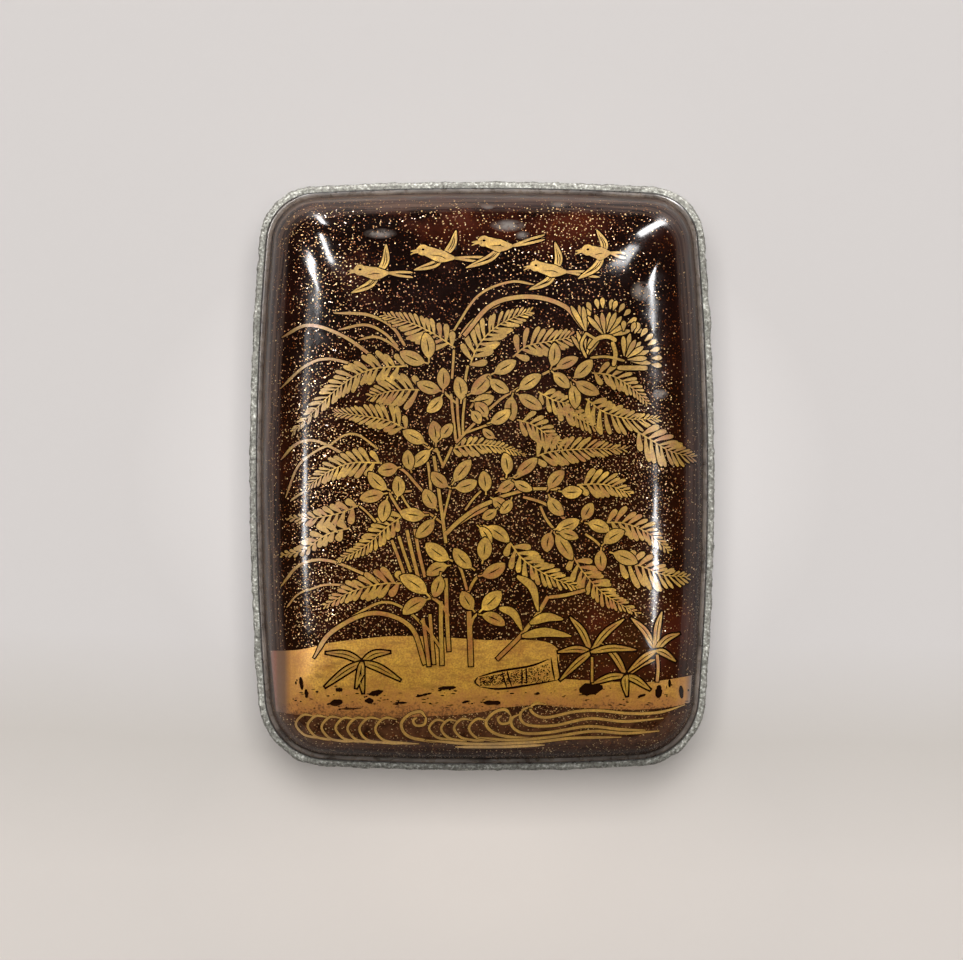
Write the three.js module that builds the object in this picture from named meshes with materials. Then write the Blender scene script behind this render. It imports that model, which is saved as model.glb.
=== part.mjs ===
// A small lacquered wooden incense box: a shallow body with a flat underside, and a domed lid that lifts off.
// Both have bowed sides, round corners and a soft metal rim let in at the mouth, under a thin bead of lacquer.
// Millimetres, +Z up, +Y towards the head of the lid. The origin is the middle of the underside.
import * as THREE from "three";

// Plan of the box, measured over the metal rims.
const HALF_WIDTH = 30;
const HALF_LENGTH = 38;
const LONG_SIDE_RADIUS = 372;
const SHORT_SIDE_RADIUS = 390;
const HEAD_CORNER_RADIUS = 7.2;
const FOOT_CORNER_RADIUS = 9.0;

// Heights.
const MOUTH_HEIGHT = 10.6; // the plane between body and lid
const LID_WALL_TOP = 15.9;
const DOME_RISE = 10.9;
const DOME_POWER = 2.3; // 2 is an ellipse, more is flatter on top with a fuller shoulder

// Insets from the plan, taken inwards from the outside of the rims.
const RIM_WIDTH = 1.35;
const RIM_BED = 1.45; // wood behind the metal
const BEAD_OUTSIDE = 0.78;
const WALL_FOOT = 1.55;
const LID_WALL_HEAD = 2.0;
const LID_INSIDE = 3.3;
const LIP_OUTSIDE = 3.6;
const BODY_INSIDE = 4.5;
const BODY_WALL_FOOT = 2.0;
const BASE_EDGE = 6.4;

// Thicknesses and small heights.
const PARTING_GAP = 0.3;
const RIM_HEIGHT = 1.65;
const RIM_ROUNDING = 0.45;
const BEAD_GAP = 0.1;
const BEAD_HEIGHT = 0.6;
const GROOVE_DEPTH = 0.12;
const LIP_HEIGHT = 2.2;
const LIP_ROUNDING = 0.3;
const FLOOR_THICKNESS = 2.4;
const FLOOR_FILLET = 2.6;
const LID_THICKNESS = 2.2;
const BODY_CURVE_HEIGHT = 4.6;

// Facets.
const LONG_SIDE_STEPS = 6;
const SHORT_SIDE_STEPS = 5;
const CORNER_STEPS = 7;
const DOME_STEPS = 12;
const INNER_DOME_STEPS = 9;
const CURVE_STEPS = 5;
const BEAD_STEPS = 4;
const ROUNDING_STEPS = 3;
const LAST_INSET = 29; // the last outline before the surface closes on its middle

const LACQUER = new THREE.MeshStandardMaterial({ color: 0x24110b, roughness: 0.18, metalness: 0 });
const PEWTER = new THREE.MeshStandardMaterial({ color: 0x8d918d, roughness: 0.62, metalness: 0.8 });

// A corner's radius on the outline at an inset. Near the rim the outline moves in evenly all round, so the corner
// tightens. Further in, the corners open until the outline is a circle at the middle.
function cornerRadius(outer, inset) {
  const way = inset / HALF_WIDTH;
  const straightShare = (1 - outer / HALF_WIDTH) * (1 - way) * (1 + 2 * way - 2 * way ** 2);
  return (HALF_WIDTH - inset) * (1 - straightShare);
}

// Where a round corner's centre lies, so that the corner runs smoothly into both bowed sides.
function cornerCentre(halfWidth, halfLength, longRadius, shortRadius, radius) {
  const toLong = longRadius - radius;
  const toShort = shortRadius - radius;
  const longCentre = new THREE.Vector2(halfWidth - longRadius, 0);
  const shortCentre = new THREE.Vector2(0, halfLength - shortRadius);
  const between = shortCentre.clone().sub(longCentre);
  const apart = between.length();
  const along = (toLong ** 2 - toShort ** 2 + apart ** 2) / (2 * apart);
  const across = Math.sqrt(toLong ** 2 - along ** 2);
  between.divideScalar(apart);
  return longCentre.addScaledVector(between, along).add(new THREE.Vector2(-between.y, between.x).multiplyScalar(across));
}

function arc(centreX, centreY, radius, from, to, steps) {
  return Array.from({ length: steps }, (_, i) => {
    const angle = THREE.MathUtils.lerp(from, to, i / steps);
    return new THREE.Vector2(centreX + radius * Math.cos(angle), centreY + radius * Math.sin(angle));
  });
}

// The closed outline at an inset, anticlockwise from above.
function outline(inset) {
  const halfWidth = HALF_WIDTH - inset;
  const narrowing = (HALF_LENGTH - HALF_WIDTH) * THREE.MathUtils.smootherstep(inset, 0, HALF_WIDTH);
  const halfLength = HALF_LENGTH - inset - narrowing;
  const longRadius = (LONG_SIDE_RADIUS * halfWidth) / HALF_WIDTH;
  const shortRadius = (SHORT_SIDE_RADIUS * halfLength) / HALF_LENGTH;
  const longX = halfWidth - longRadius;
  const shortY = halfLength - shortRadius;
  const [head, foot] = [HEAD_CORNER_RADIUS, FOOT_CORNER_RADIUS].map((outer) => {
    const radius = cornerRadius(outer, inset);
    const centre = cornerCentre(halfWidth, halfLength, longRadius, shortRadius, radius);
    const start = Math.atan2(centre.y, centre.x - longX);
    const end = Math.atan2(centre.y - shortY, centre.x);
    return { radius, centre, start, end };
  });
  const turned = Math.PI;
  return [
    ...arc(longX, 0, longRadius, -foot.start, head.start, LONG_SIDE_STEPS),
    ...arc(head.centre.x, head.centre.y, head.radius, head.start, head.end, CORNER_STEPS),
    ...arc(0, shortY, shortRadius, head.end, turned - head.end, SHORT_SIDE_STEPS),
    ...arc(-head.centre.x, head.centre.y, head.radius, turned - head.end, turned - head.start, CORNER_STEPS),
    ...arc(-longX, 0, longRadius, turned - head.start, turned + foot.start, LONG_SIDE_STEPS),
    ...arc(-foot.centre.x, -foot.centre.y, foot.radius, turned + foot.start, turned + foot.end, CORNER_STEPS),
    ...arc(0, -shortY, shortRadius, turned + foot.end, 2 * turned - foot.end, SHORT_SIDE_STEPS),
    ...arc(foot.centre.x, -foot.centre.y, foot.radius, 2 * turned - foot.end, 2 * turned - foot.start, CORNER_STEPS),
  ];
}

// A closed skin through the outlines of a profile of [inset, height] pairs. An open profile starts and ends on the
// middle of the box, where first and last are the heights. A ring's profile closes on itself.
function loft(profile, middle) {
  const loops = profile.map(([inset, height]) => outline(inset).map((p) => [p.x, p.y, height]));
  const around = loops[0].length;
  const points = loops.flat();
  const faces = [];
  const bands = middle ? loops.length - 1 : loops.length;
  for (let band = 0; band < bands; band++) {
    const here = band * around;
    const there = ((band + 1) % loops.length) * around;
    for (let i = 0; i < around; i++) {
      const next = (i + 1) % around;
      faces.push(here + i, here + next, there + next, here + i, there + next, there + i);
    }
  }
  if (middle) {
    const [first, last] = [points.length, points.length + 1];
    points.push([0, 0, middle.first], [0, 0, middle.last]);
    const end = (loops.length - 1) * around;
    for (let i = 0; i < around; i++) {
      const next = (i + 1) % around;
      faces.push(first, next, i, last, end + i, end + next);
    }
  }
  const geometry = new THREE.BufferGeometry();
  geometry.setAttribute("position", new THREE.Float32BufferAttribute(points.flat(), 3));
  geometry.setIndex(faces);
  geometry.computeVertexNormals();
  return geometry;
}

// A quarter of an ellipse from one point to another. It leaves the first point along the inset, or along the height.
function quarter([fromInset, fromHeight], [toInset, toHeight], steps, leavesAlongInset) {
  return Array.from({ length: steps + 1 }, (_, i) => {
    const angle = (Math.PI / 2) * (i / steps);
    const [quick, slow] = [Math.sin(angle), 1 - Math.cos(angle)];
    const [across, up] = leavesAlongInset ? [quick, slow] : [slow, quick];
    return [THREE.MathUtils.lerp(fromInset, toInset, across), THREE.MathUtils.lerp(fromHeight, toHeight, up)];
  });
}

// The dome's profile, from the head of a wall up to the last outline.
function dome(wallInset, wallHeight, rise, steps) {
  const reach = HALF_WIDTH - wallInset;
  const last = Math.acos(((HALF_WIDTH - LAST_INSET) / reach) ** (DOME_POWER / 2));
  return Array.from({ length: steps + 1 }, (_, i) => {
    const angle = (last * i) / steps;
    const inset = HALF_WIDTH - reach * Math.cos(angle) ** (2 / DOME_POWER);
    return [inset, wallHeight + rise * Math.sin(angle) ** (2 / DOME_POWER)];
  });
}

// The bead of lacquer that laps the rim's inner edge, as heights above or below the mouth.
function bead(side) {
  const under = MOUTH_HEIGHT + side * (PARTING_GAP / 2 + RIM_HEIGHT + BEAD_GAP);
  const over = under + side * BEAD_HEIGHT;
  const crown = (BEAD_OUTSIDE + WALL_FOOT) / 2;
  return [
    ...quarter([BEAD_OUTSIDE, under], [crown, over], BEAD_STEPS, false),
    [WALL_FOOT + GROOVE_DEPTH, over - (side * BEAD_HEIGHT) / 3],
    [WALL_FOOT, over + side * GROOVE_DEPTH],
  ];
}

function lid() {
  const mouth = MOUTH_HEIGHT + PARTING_GAP / 2;
  const bedTop = mouth + RIM_HEIGHT + BEAD_GAP;
  const innerRise = DOME_RISE - LID_THICKNESS;
  const outside = [[RIM_BED, mouth], [RIM_BED, bedTop], ...bead(1), ...dome(LID_WALL_HEAD, LID_WALL_TOP, DOME_RISE, DOME_STEPS)];
  const inside = [[LID_INSIDE, mouth], ...dome(LID_INSIDE, LID_WALL_TOP, innerRise, INNER_DOME_STEPS)];
  return loft([...inside.reverse(), ...outside], { first: LID_WALL_TOP + innerRise, last: LID_WALL_TOP + DOME_RISE });
}

function body() {
  const mouth = MOUTH_HEIGHT - PARTING_GAP / 2;
  const bedBottom = mouth - RIM_HEIGHT - BEAD_GAP;
  const lipTop = MOUTH_HEIGHT + LIP_HEIGHT;
  const outside = [
    [LAST_INSET, 0],
    [(LAST_INSET + BASE_EDGE) / 2, 0],
    ...quarter([BASE_EDGE, 0], [BODY_WALL_FOOT, BODY_CURVE_HEIGHT], CURVE_STEPS, true),
    ...bead(-1).reverse(),
    [RIM_BED, bedBottom],
    [RIM_BED, mouth],
    [LIP_OUTSIDE, mouth],
  ];
  const lip = [
    ...quarter([LIP_OUTSIDE, lipTop - LIP_ROUNDING], [LIP_OUTSIDE + LIP_ROUNDING, lipTop], ROUNDING_STEPS, false),
    ...quarter([BODY_INSIDE - LIP_ROUNDING, lipTop], [BODY_INSIDE, lipTop - LIP_ROUNDING], ROUNDING_STEPS, true),
  ];
  const filletTop = FLOOR_THICKNESS + FLOOR_FILLET;
  const inside = [
    ...quarter([BODY_INSIDE, filletTop], [BODY_INSIDE + FLOOR_FILLET, FLOOR_THICKNESS], CURVE_STEPS, false),
    [(LAST_INSET + BODY_INSIDE) / 2, FLOOR_THICKNESS],
    [LAST_INSET, FLOOR_THICKNESS],
  ];
  return loft([...outside, ...lip, ...inside], { first: 0, last: FLOOR_THICKNESS });
}

// A metal rim above (side 1) or below (side -1) the mouth, with its outer edges rounded.
function rim(side) {
  const mouth = MOUTH_HEIGHT + (side * PARTING_GAP) / 2;
  const far = mouth + side * RIM_HEIGHT;
  const profile = [
    [RIM_WIDTH, mouth],
    [RIM_ROUNDING / 3, mouth],
    [0, mouth + (side * RIM_ROUNDING) / 3],
    ...quarter([0, far - side * RIM_ROUNDING], [RIM_ROUNDING, far], ROUNDING_STEPS, false),
    [RIM_WIDTH, far],
  ];
  return loft(side > 0 ? profile : profile.reverse(), null);
}

function piece(name, geometry, material) {
  const mesh = new THREE.Mesh(geometry, material);
  mesh.name = name;
  return mesh;
}

const box = new THREE.Group();
box.name = "incense_box";
box.add(piece("body", body(), LACQUER));
box.add(piece("lid", lid(), LACQUER));
box.add(piece("body_rim", rim(-1), PEWTER));
box.add(piece("lid_rim", rim(1), PEWTER));

export default box;
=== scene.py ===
# A lacquered incense box, lying on its underside and seen from straight above: a shallow body, a domed lid
# with a gold picture, and two soft metal rims. Sizes are millimetres until a mesh is made. The picture is
# laid out on a plan in pixels of the photograph, which is turned into millimetres and dropped on to the lid.
import math
import random

import bpy
import numpy as np
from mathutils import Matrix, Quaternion, Vector, noise
from mathutils.bvhtree import BVHTree


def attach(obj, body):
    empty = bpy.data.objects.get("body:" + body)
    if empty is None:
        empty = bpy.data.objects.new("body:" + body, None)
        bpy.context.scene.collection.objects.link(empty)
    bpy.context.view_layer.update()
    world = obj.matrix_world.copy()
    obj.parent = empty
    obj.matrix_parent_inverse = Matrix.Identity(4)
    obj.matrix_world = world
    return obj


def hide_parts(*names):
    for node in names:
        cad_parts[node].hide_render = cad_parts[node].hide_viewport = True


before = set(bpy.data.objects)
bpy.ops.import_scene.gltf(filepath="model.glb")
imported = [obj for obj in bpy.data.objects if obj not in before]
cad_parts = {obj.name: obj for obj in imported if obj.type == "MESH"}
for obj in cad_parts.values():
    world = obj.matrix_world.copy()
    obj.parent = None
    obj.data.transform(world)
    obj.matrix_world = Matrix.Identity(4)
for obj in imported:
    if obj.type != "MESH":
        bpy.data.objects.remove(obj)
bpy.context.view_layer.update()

MM = 0.001
SEED = 11

# Plan of the box, as in the CAD model.
HALF_WIDTH = 30.0
HALF_LENGTH = 38.0
LONG_SIDE_RADIUS = 372.0
SHORT_SIDE_RADIUS = 390.0
HEAD_CORNER_RADIUS = 7.2
FOOT_CORNER_RADIUS = 9.0

# Heights, as in the CAD model.
MOUTH_HEIGHT = 10.6
LID_WALL_TOP = 15.9
DOME_RISE = 10.9
DOME_POWER = 2.3
PARTING_GAP = 0.3
RIM_HEIGHT = 1.65
BEAD_GAP = 0.1
BEAD_HEIGHT = 0.6
LIP_HEIGHT = 2.2
LIP_ROUNDING = 0.3
FLOOR_THICKNESS = 2.4
FLOOR_FILLET = 2.6
LID_THICKNESS = 2.2
BODY_CURVE_HEIGHT = 4.6

# Insets from the outside of the rims, as in the CAD model.
RIM_WIDTH = 1.35
RIM_BED = 1.45
BEAD_OUTSIDE = 0.78
WALL_FOOT = 1.55
LID_WALL_HEAD = 2.0
LID_INSIDE = 3.3
LIP_OUTSIDE = 3.6
BODY_INSIDE = 4.5
BODY_WALL_FOOT = 2.0
BASE_EDGE = 6.4
GROOVE_DEPTH = 0.12

# How finely the smooth pieces are divided.
SHELL_SPACING = 1.0
RIM_SPACING = 0.2
DOME_STEPS = 64
LAST_INSET = 29.6

# The photograph, in pixels, and where the lid lies in it.
PHOTO_WIDTH = 963
PHOTO_HEIGHT = 960
BOX_CENTRE_PX = (482.0, 476.0)
BOX_WIDTH_PX = 464.0
MM_PER_PX = 2 * HALF_WIDTH / BOX_WIDTH_PX
CAMERA_HEIGHT = 1000.0
SENSOR_WIDTH = 36.0
PICTURE_SHRINK = 0.986  # the picture lies nearer the camera than the rims do

# The gold relief, as heights over the lacquer.
SINK = 0.03
GRASS_LIFT = 0.02
FROND_LIFT = 0.034
FROND_STEP = 0.004
LEAF_LIFT = 0.15
LEAF_STEP = 0.006
KEYLINE_DROP = 0.006
KEYLINE_PX = 1.1


# Outlines and lofts

def corner_radius(outer, inset):
    way = inset / HALF_WIDTH
    straight_share = (1 - outer / HALF_WIDTH) * (1 - way) * (1 + 2 * way - 2 * way**2)
    return (HALF_WIDTH - inset) * (1 - straight_share)


def corner_centre(half_width, half_length, long_radius, short_radius, radius):
    to_long = long_radius - radius
    to_short = short_radius - radius
    long_centre = np.array([half_width - long_radius, 0.0])
    short_centre = np.array([0.0, half_length - short_radius])
    between = short_centre - long_centre
    apart = np.linalg.norm(between)
    between /= apart
    along = (to_long**2 - to_short**2 + apart**2) / (2 * apart)
    across = math.sqrt(to_long**2 - along**2)
    return long_centre + between * along + np.array([-between[1], between[0]]) * across


def smootherstep(x):
    return x * x * x * (x * (x * 6 - 15) + 10)


def arc(centre, radius, start, end, steps):
    angles = start + (end - start) * np.arange(steps) / steps
    return np.stack([centre[0] + radius * np.cos(angles), centre[1] + radius * np.sin(angles)], axis=1)


def outline(inset, spacing):
    """The closed outline at an inset, anticlockwise from above, with as many points at every inset."""
    long_steps = round(60 / spacing)
    short_steps = round(46 / spacing)
    corner_steps = round(14 / spacing)
    half_width = HALF_WIDTH - inset
    narrowing = (HALF_LENGTH - HALF_WIDTH) * smootherstep(inset / HALF_WIDTH)
    half_length = HALF_LENGTH - inset - narrowing
    long_radius = LONG_SIDE_RADIUS * half_width / HALF_WIDTH
    short_radius = SHORT_SIDE_RADIUS * half_length / HALF_LENGTH
    long_x = half_width - long_radius
    short_y = half_length - short_radius
    corners = []
    for outer in (HEAD_CORNER_RADIUS, FOOT_CORNER_RADIUS):
        radius = corner_radius(outer, inset)
        x, y = corner_centre(half_width, half_length, long_radius, short_radius, radius)
        corners.append((radius, x, y, math.atan2(y, x - long_x), math.atan2(y - short_y, x)))
    (head, hx, hy, h_start, h_end), (foot, fx, fy, f_start, f_end) = corners
    half_turn = math.pi
    return np.concatenate([
        arc((long_x, 0), long_radius, -f_start, h_start, long_steps),
        arc((hx, hy), head, h_start, h_end, corner_steps),
        arc((0, short_y), short_radius, h_end, half_turn - h_end, short_steps),
        arc((-hx, hy), head, half_turn - h_end, half_turn - h_start, corner_steps),
        arc((-long_x, 0), long_radius, half_turn - h_start, half_turn + f_start, long_steps),
        arc((-fx, -fy), foot, half_turn + f_start, half_turn + f_end, corner_steps),
        arc((0, -short_y), short_radius, half_turn + f_end, 2 * half_turn - f_end, short_steps),
        arc((fx, -fy), foot, 2 * half_turn - f_end, 2 * half_turn - f_start, corner_steps),
    ])


def mesh_object(name, points_mm, faces, materials, face_materials=None):
    mesh = bpy.data.meshes.new(name)
    mesh.from_pydata((np.asarray(points_mm) * MM).tolist(), [], faces)
    for material in materials:
        mesh.materials.append(material)
    if face_materials is not None:
        mesh.polygons.foreach_set("material_index", face_materials)
    mesh.polygons.foreach_set("use_smooth", [True] * len(mesh.polygons))
    mesh.update()
    piece = bpy.data.objects.new(name, mesh)
    bpy.context.scene.collection.objects.link(piece)
    return piece


def points_of(piece):
    """A piece's points, in millimetres."""
    points = np.empty(3 * len(piece.data.vertices))
    piece.data.vertices.foreach_get("co", points)
    return points.reshape(-1, 3) / MM


def set_values(piece, name, values):
    attribute = piece.data.attributes.new(name, "FLOAT", "POINT")
    attribute.data.foreach_set("value", np.asarray(values, dtype=np.float32))


def loft(name, profile, middle, spacing, materials, band_materials=None, closed=True):
    """A skin through the outlines of a profile of (inset, height) pairs, as in the CAD model.

    It closes at two middle points, or else back on itself, or not at all.
    """
    loops = []
    for inset, height in profile:
        plan = outline(inset, spacing)
        loops.append(np.column_stack([plan, np.full(len(plan), height)]))
    around = len(loops[0])
    points = np.concatenate(loops)
    faces = []
    face_materials = []
    bands = len(loops) if closed and not middle else len(loops) - 1
    here = np.arange(around)
    following = (here + 1) % around
    for band in range(bands):
        near = band * around
        far = (band + 1) % len(loops) * around
        quads = np.stack([near + here, near + following, far + following, far + here], axis=1)
        faces.extend(quads.tolist())
        face_materials.extend([band_materials[band] if band_materials else 0] * around)
    if middle:
        first = len(points)
        last = first + 1
        points = np.concatenate([points, [[0, 0, middle[0]], [0, 0, middle[1]]]])
        end = (len(loops) - 1) * around
        faces.extend([(first, int(n), int(h)) for h, n in zip(here, following)])
        faces.extend([(last, int(end + h), int(end + n)) for h, n in zip(here, following)])
        face_materials.extend([0] * (2 * around))
    piece = mesh_object(name, points, faces, materials, face_materials)
    insets = np.repeat([inset for inset, _ in profile], around)
    set_values(piece, "inset", np.concatenate([insets, np.full(len(points) - len(insets), HALF_WIDTH)]))
    return piece


def quarter(start, end, steps, leaves_along_inset):
    """A quarter of an ellipse between two points of a profile."""
    angles = np.linspace(0, math.pi / 2, steps + 1)
    quick = np.sin(angles)
    slow = 1 - np.cos(angles)
    across, up = (quick, slow) if leaves_along_inset else (slow, quick)
    insets = start[0] + (end[0] - start[0]) * across
    heights = start[1] + (end[1] - start[1]) * up
    return list(zip(insets, heights))


def dome(wall_inset, wall_height, rise, steps):
    reach = HALF_WIDTH - wall_inset
    last = math.acos(((HALF_WIDTH - LAST_INSET) / reach) ** (DOME_POWER / 2))
    angles = np.linspace(0, last, steps + 1)
    insets = HALF_WIDTH - reach * np.cos(angles) ** (2 / DOME_POWER)
    heights = wall_height + rise * np.sin(angles) ** (2 / DOME_POWER)
    return list(zip(insets, heights))


def bead(side):
    """The bead of lacquer that laps the rim's inner edge, above (side 1) or below (side -1) the mouth."""
    under = MOUTH_HEIGHT + side * (PARTING_GAP / 2 + RIM_HEIGHT + BEAD_GAP)
    over = under + side * BEAD_HEIGHT
    crown = (BEAD_OUTSIDE + WALL_FOOT) / 2
    rise = quarter((BEAD_OUTSIDE, under), (crown, over), 6, False)
    fall = quarter((crown, over), (WALL_FOOT + GROOVE_DEPTH, over - side * BEAD_HEIGHT / 3), 4, True)
    return rise + fall[1:] + [(WALL_FOOT, over + side * GROOVE_DEPTH)]


def crease(piece, degrees):
    piece.data.set_sharp_from_angle(angle=math.radians(degrees))


def shell(name, before, lap, after, middle, materials):
    """A shell lofted from three stretches of a profile, of which the middle one is the bead."""
    profile = before + lap + after
    band_materials = [0] * len(before) + [1] * (len(lap) - 1) + [0] * (len(after) + 1)
    piece = loft(name, profile, middle, SHELL_SPACING, materials, band_materials)
    crease(piece, 38)
    return piece


def lid_outside():
    """The lid's outside, from its bead up the wall and over the dome."""
    wall_foot = np.array(bead(1)[-1])
    wall_head = np.array((LID_WALL_HEAD, LID_WALL_TOP))
    wall = [tuple(wall_foot + (wall_head - wall_foot) * step / 6) for step in range(1, 6)]
    return wall + dome(LID_WALL_HEAD, LID_WALL_TOP, DOME_RISE, DOME_STEPS)


def make_lid(materials):
    mouth = MOUTH_HEIGHT + PARTING_GAP / 2
    inner_rise = DOME_RISE - LID_THICKNESS
    inside = [(LID_INSIDE, mouth)] + dome(LID_INSIDE, LID_WALL_TOP, inner_rise, 24)
    bed = [(RIM_BED, mouth), (RIM_BED, mouth + RIM_HEIGHT + BEAD_GAP)]
    middle = (LID_WALL_TOP + inner_rise, LID_WALL_TOP + DOME_RISE)
    return shell("lid_shell", inside[::-1] + bed, bead(1), lid_outside(), middle, materials)


def make_body(materials):
    mouth = MOUTH_HEIGHT - PARTING_GAP / 2
    bed_bottom = mouth - RIM_HEIGHT - BEAD_GAP
    lip_top = MOUTH_HEIGHT + LIP_HEIGHT
    fillet_top = FLOOR_THICKNESS + FLOOR_FILLET
    outside = [(LAST_INSET, 0), (18, 0), (9, 0)]
    outside += quarter((BASE_EDGE, 0), (BODY_WALL_FOOT, BODY_CURVE_HEIGHT), 14, True)
    inside = [(RIM_BED, bed_bottom), (RIM_BED, mouth), (LIP_OUTSIDE, mouth)]
    inside += quarter((LIP_OUTSIDE, lip_top - LIP_ROUNDING), (LIP_OUTSIDE + LIP_ROUNDING, lip_top), 4, False)
    inside += quarter((BODY_INSIDE - LIP_ROUNDING, lip_top), (BODY_INSIDE, lip_top - LIP_ROUNDING), 4, True)
    inside += quarter((BODY_INSIDE, fillet_top), (BODY_INSIDE + FLOOR_FILLET, FLOOR_THICKNESS), 10, False)
    inside += [(inset, FLOOR_THICKNESS) for inset in (12, 20, LAST_INSET)]
    return shell("body_shell", outside, bead(-1)[::-1], inside, (0, FLOOR_THICKNESS), materials)


# The metal rims, with the granular skin that corrosion leaves

RIM_ROUNDING = 0.45
GRAIN_SIZE = 0.42
GRAIN_HEIGHT = 0.24
RIM_WASTE = 0.07


def make_rim(name, side, metal):
    mouth = MOUTH_HEIGHT + side * PARTING_GAP / 2
    far = mouth + side * RIM_HEIGHT
    outer = [(0.12, mouth + side * 0.02), (0, mouth + side * 0.2)]
    outer += [(0, mouth + side * height) for height in (0.45, 0.7, 0.95)]
    rounding = quarter((0, far - side * RIM_ROUNDING), (RIM_ROUNDING, far), 5, False)
    top = [(0.6, far), (0.75, far), (0.9, far), (RIM_WIDTH, far)]
    profile = [(RIM_WIDTH, mouth), (0.4, mouth)] + outer + rounding + top
    if side < 0:
        profile = profile[::-1]
    rim = loft(name, profile, None, RIM_SPACING, [metal])
    points = points_of(rim)
    for point, vertex in zip(points, rim.data.vertices):
        place = Vector(point) / GRAIN_SIZE
        coarse = noise.noise(place * 0.35 + Vector((0, 0, side * 9)))
        grains = abs(noise.noise(place)) + 0.5 * abs(noise.noise(place * 2.1))
        flat = min(abs(point[2] - mouth), abs(point[2] - far)) < 0.01
        height = GRAIN_HEIGHT * (0.45 - grains + 0.8 * coarse)
        point += np.array(vertex.normal) * (height * (0.35 if flat else 1.0) - RIM_WASTE)
    rim.data.vertices.foreach_set("co", (points * MM).ravel())
    rim.data.update()
    return rim


# The picture's plan, from pixels to the lid

def on_plan(points_px):
    """Turns pixels of the photograph into millimetres on the box's plan."""
    points = np.asarray(points_px, dtype=float)
    scale = MM_PER_PX * PICTURE_SHRINK
    x = (points[..., 0] - BOX_CENTRE_PX[0]) * scale
    y = (BOX_CENTRE_PX[1] - points[..., 1]) * scale
    return np.stack([x, y], axis=-1)


def through(points, steps):
    """A smooth path through a few points of the plan."""
    known = on_plan(points)
    if len(known) == 2:
        share = np.linspace(0, 1, steps + 1)[:, None]
        return known[0] * (1 - share) + known[1] * share
    ends = np.concatenate([[2 * known[0] - known[1]], known, [2 * known[-1] - known[-2]]])
    path = []
    pieces = len(known) - 1
    for t in np.linspace(0, pieces, steps + 1):
        part = min(int(t), pieces - 1)
        u = t - part
        a, b, c, d = ends[part:part + 4]
        bend = 2 * a - 5 * b + 4 * c - d
        twist = 3 * b - a - 3 * c + d
        path.append(0.5 * (2 * b + (c - a) * u + bend * u**2 + twist * u**3))
    return np.array(path)


def tangents(path):
    step = np.gradient(path, axis=0)
    return step / np.linalg.norm(step, axis=1)[:, None]


def turned(vector, degrees):
    angle = math.radians(degrees)
    x, y = vector
    return np.array([math.cos(angle) * x - math.sin(angle) * y, math.sin(angle) * x + math.cos(angle) * y])


class Relief:
    """Thin raised pads that lie on the lid, gathered into one mesh."""

    def __init__(self, name):
        self.name = name
        self.plan = []
        self.lift = []
        self.tone = []
        self.faces = []
        self.count = 0

    def add(self, plan, lift, tone):
        first = self.count
        self.plan.append(plan)
        self.lift.append(np.full(len(plan), lift))
        self.tone.append(np.broadcast_to(tone, len(plan)))
        self.count += len(plan)
        return first

    def sheet(self, grid, lift, tone=0.5):
        """A pad over a grid of plan points, rows along it and columns from the left, with its edge sunk."""
        rows, columns = grid.shape[:2]
        flat = grid.reshape(-1, 2)
        tone = np.broadcast_to(tone, (rows, columns)).ravel()
        first = self.add(flat, lift, tone)
        index = first + np.arange(rows * columns).reshape(rows, columns)
        quads = np.stack([index[:-1, :-1], index[:-1, 1:], index[1:, 1:], index[1:, :-1]], axis=-1)
        self.faces.extend(quads.reshape(-1, 4).tolist())
        border = np.concatenate([index[:, -1], index[-1, -2::-1], index[-2::-1, 0], index[0, 1:-1]])
        sunk = self.add(flat[border - first], -SINK, tone[border - first]) + np.arange(len(border))
        sides = np.stack([border, sunk, np.roll(sunk, -1), np.roll(border, -1)], axis=-1)
        self.faces.extend(sides.tolist())

    def strip(self, path, half_widths, lift, tone=0.5):
        """A pad along a path, as wide on both sides as its half widths."""
        along = tangents(path)
        left = np.stack([-along[:, 1], along[:, 0]], axis=1) * half_widths[:, None]
        self.sheet(np.stack([path + left, path - left], axis=1), lift, np.reshape(tone, (-1, 1)))

    def build(self, surface, material):
        points = surface.drop(np.concatenate(self.plan), np.concatenate(self.lift))
        piece = mesh_object(self.name, points, self.faces, [material])
        set_values(piece, "tone", np.concatenate(self.tone))
        plan_uv(piece)
        crease(piece, 30)
        return piece


def plan_uv(piece):
    """Maps a piece by its plan, so that a baked picture lies flat."""
    layer = piece.data.uv_layers.new(name="OFBake")
    corners = np.empty(len(piece.data.loops), dtype=np.int32)
    piece.data.loops.foreach_get("vertex_index", corners)
    plan = points_of(piece)[:, :2]
    uv = (plan / (2.02 * HALF_LENGTH) + 0.5)[corners]
    layer.data.foreach_set("uv", uv.astype(np.float32).ravel())


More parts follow.
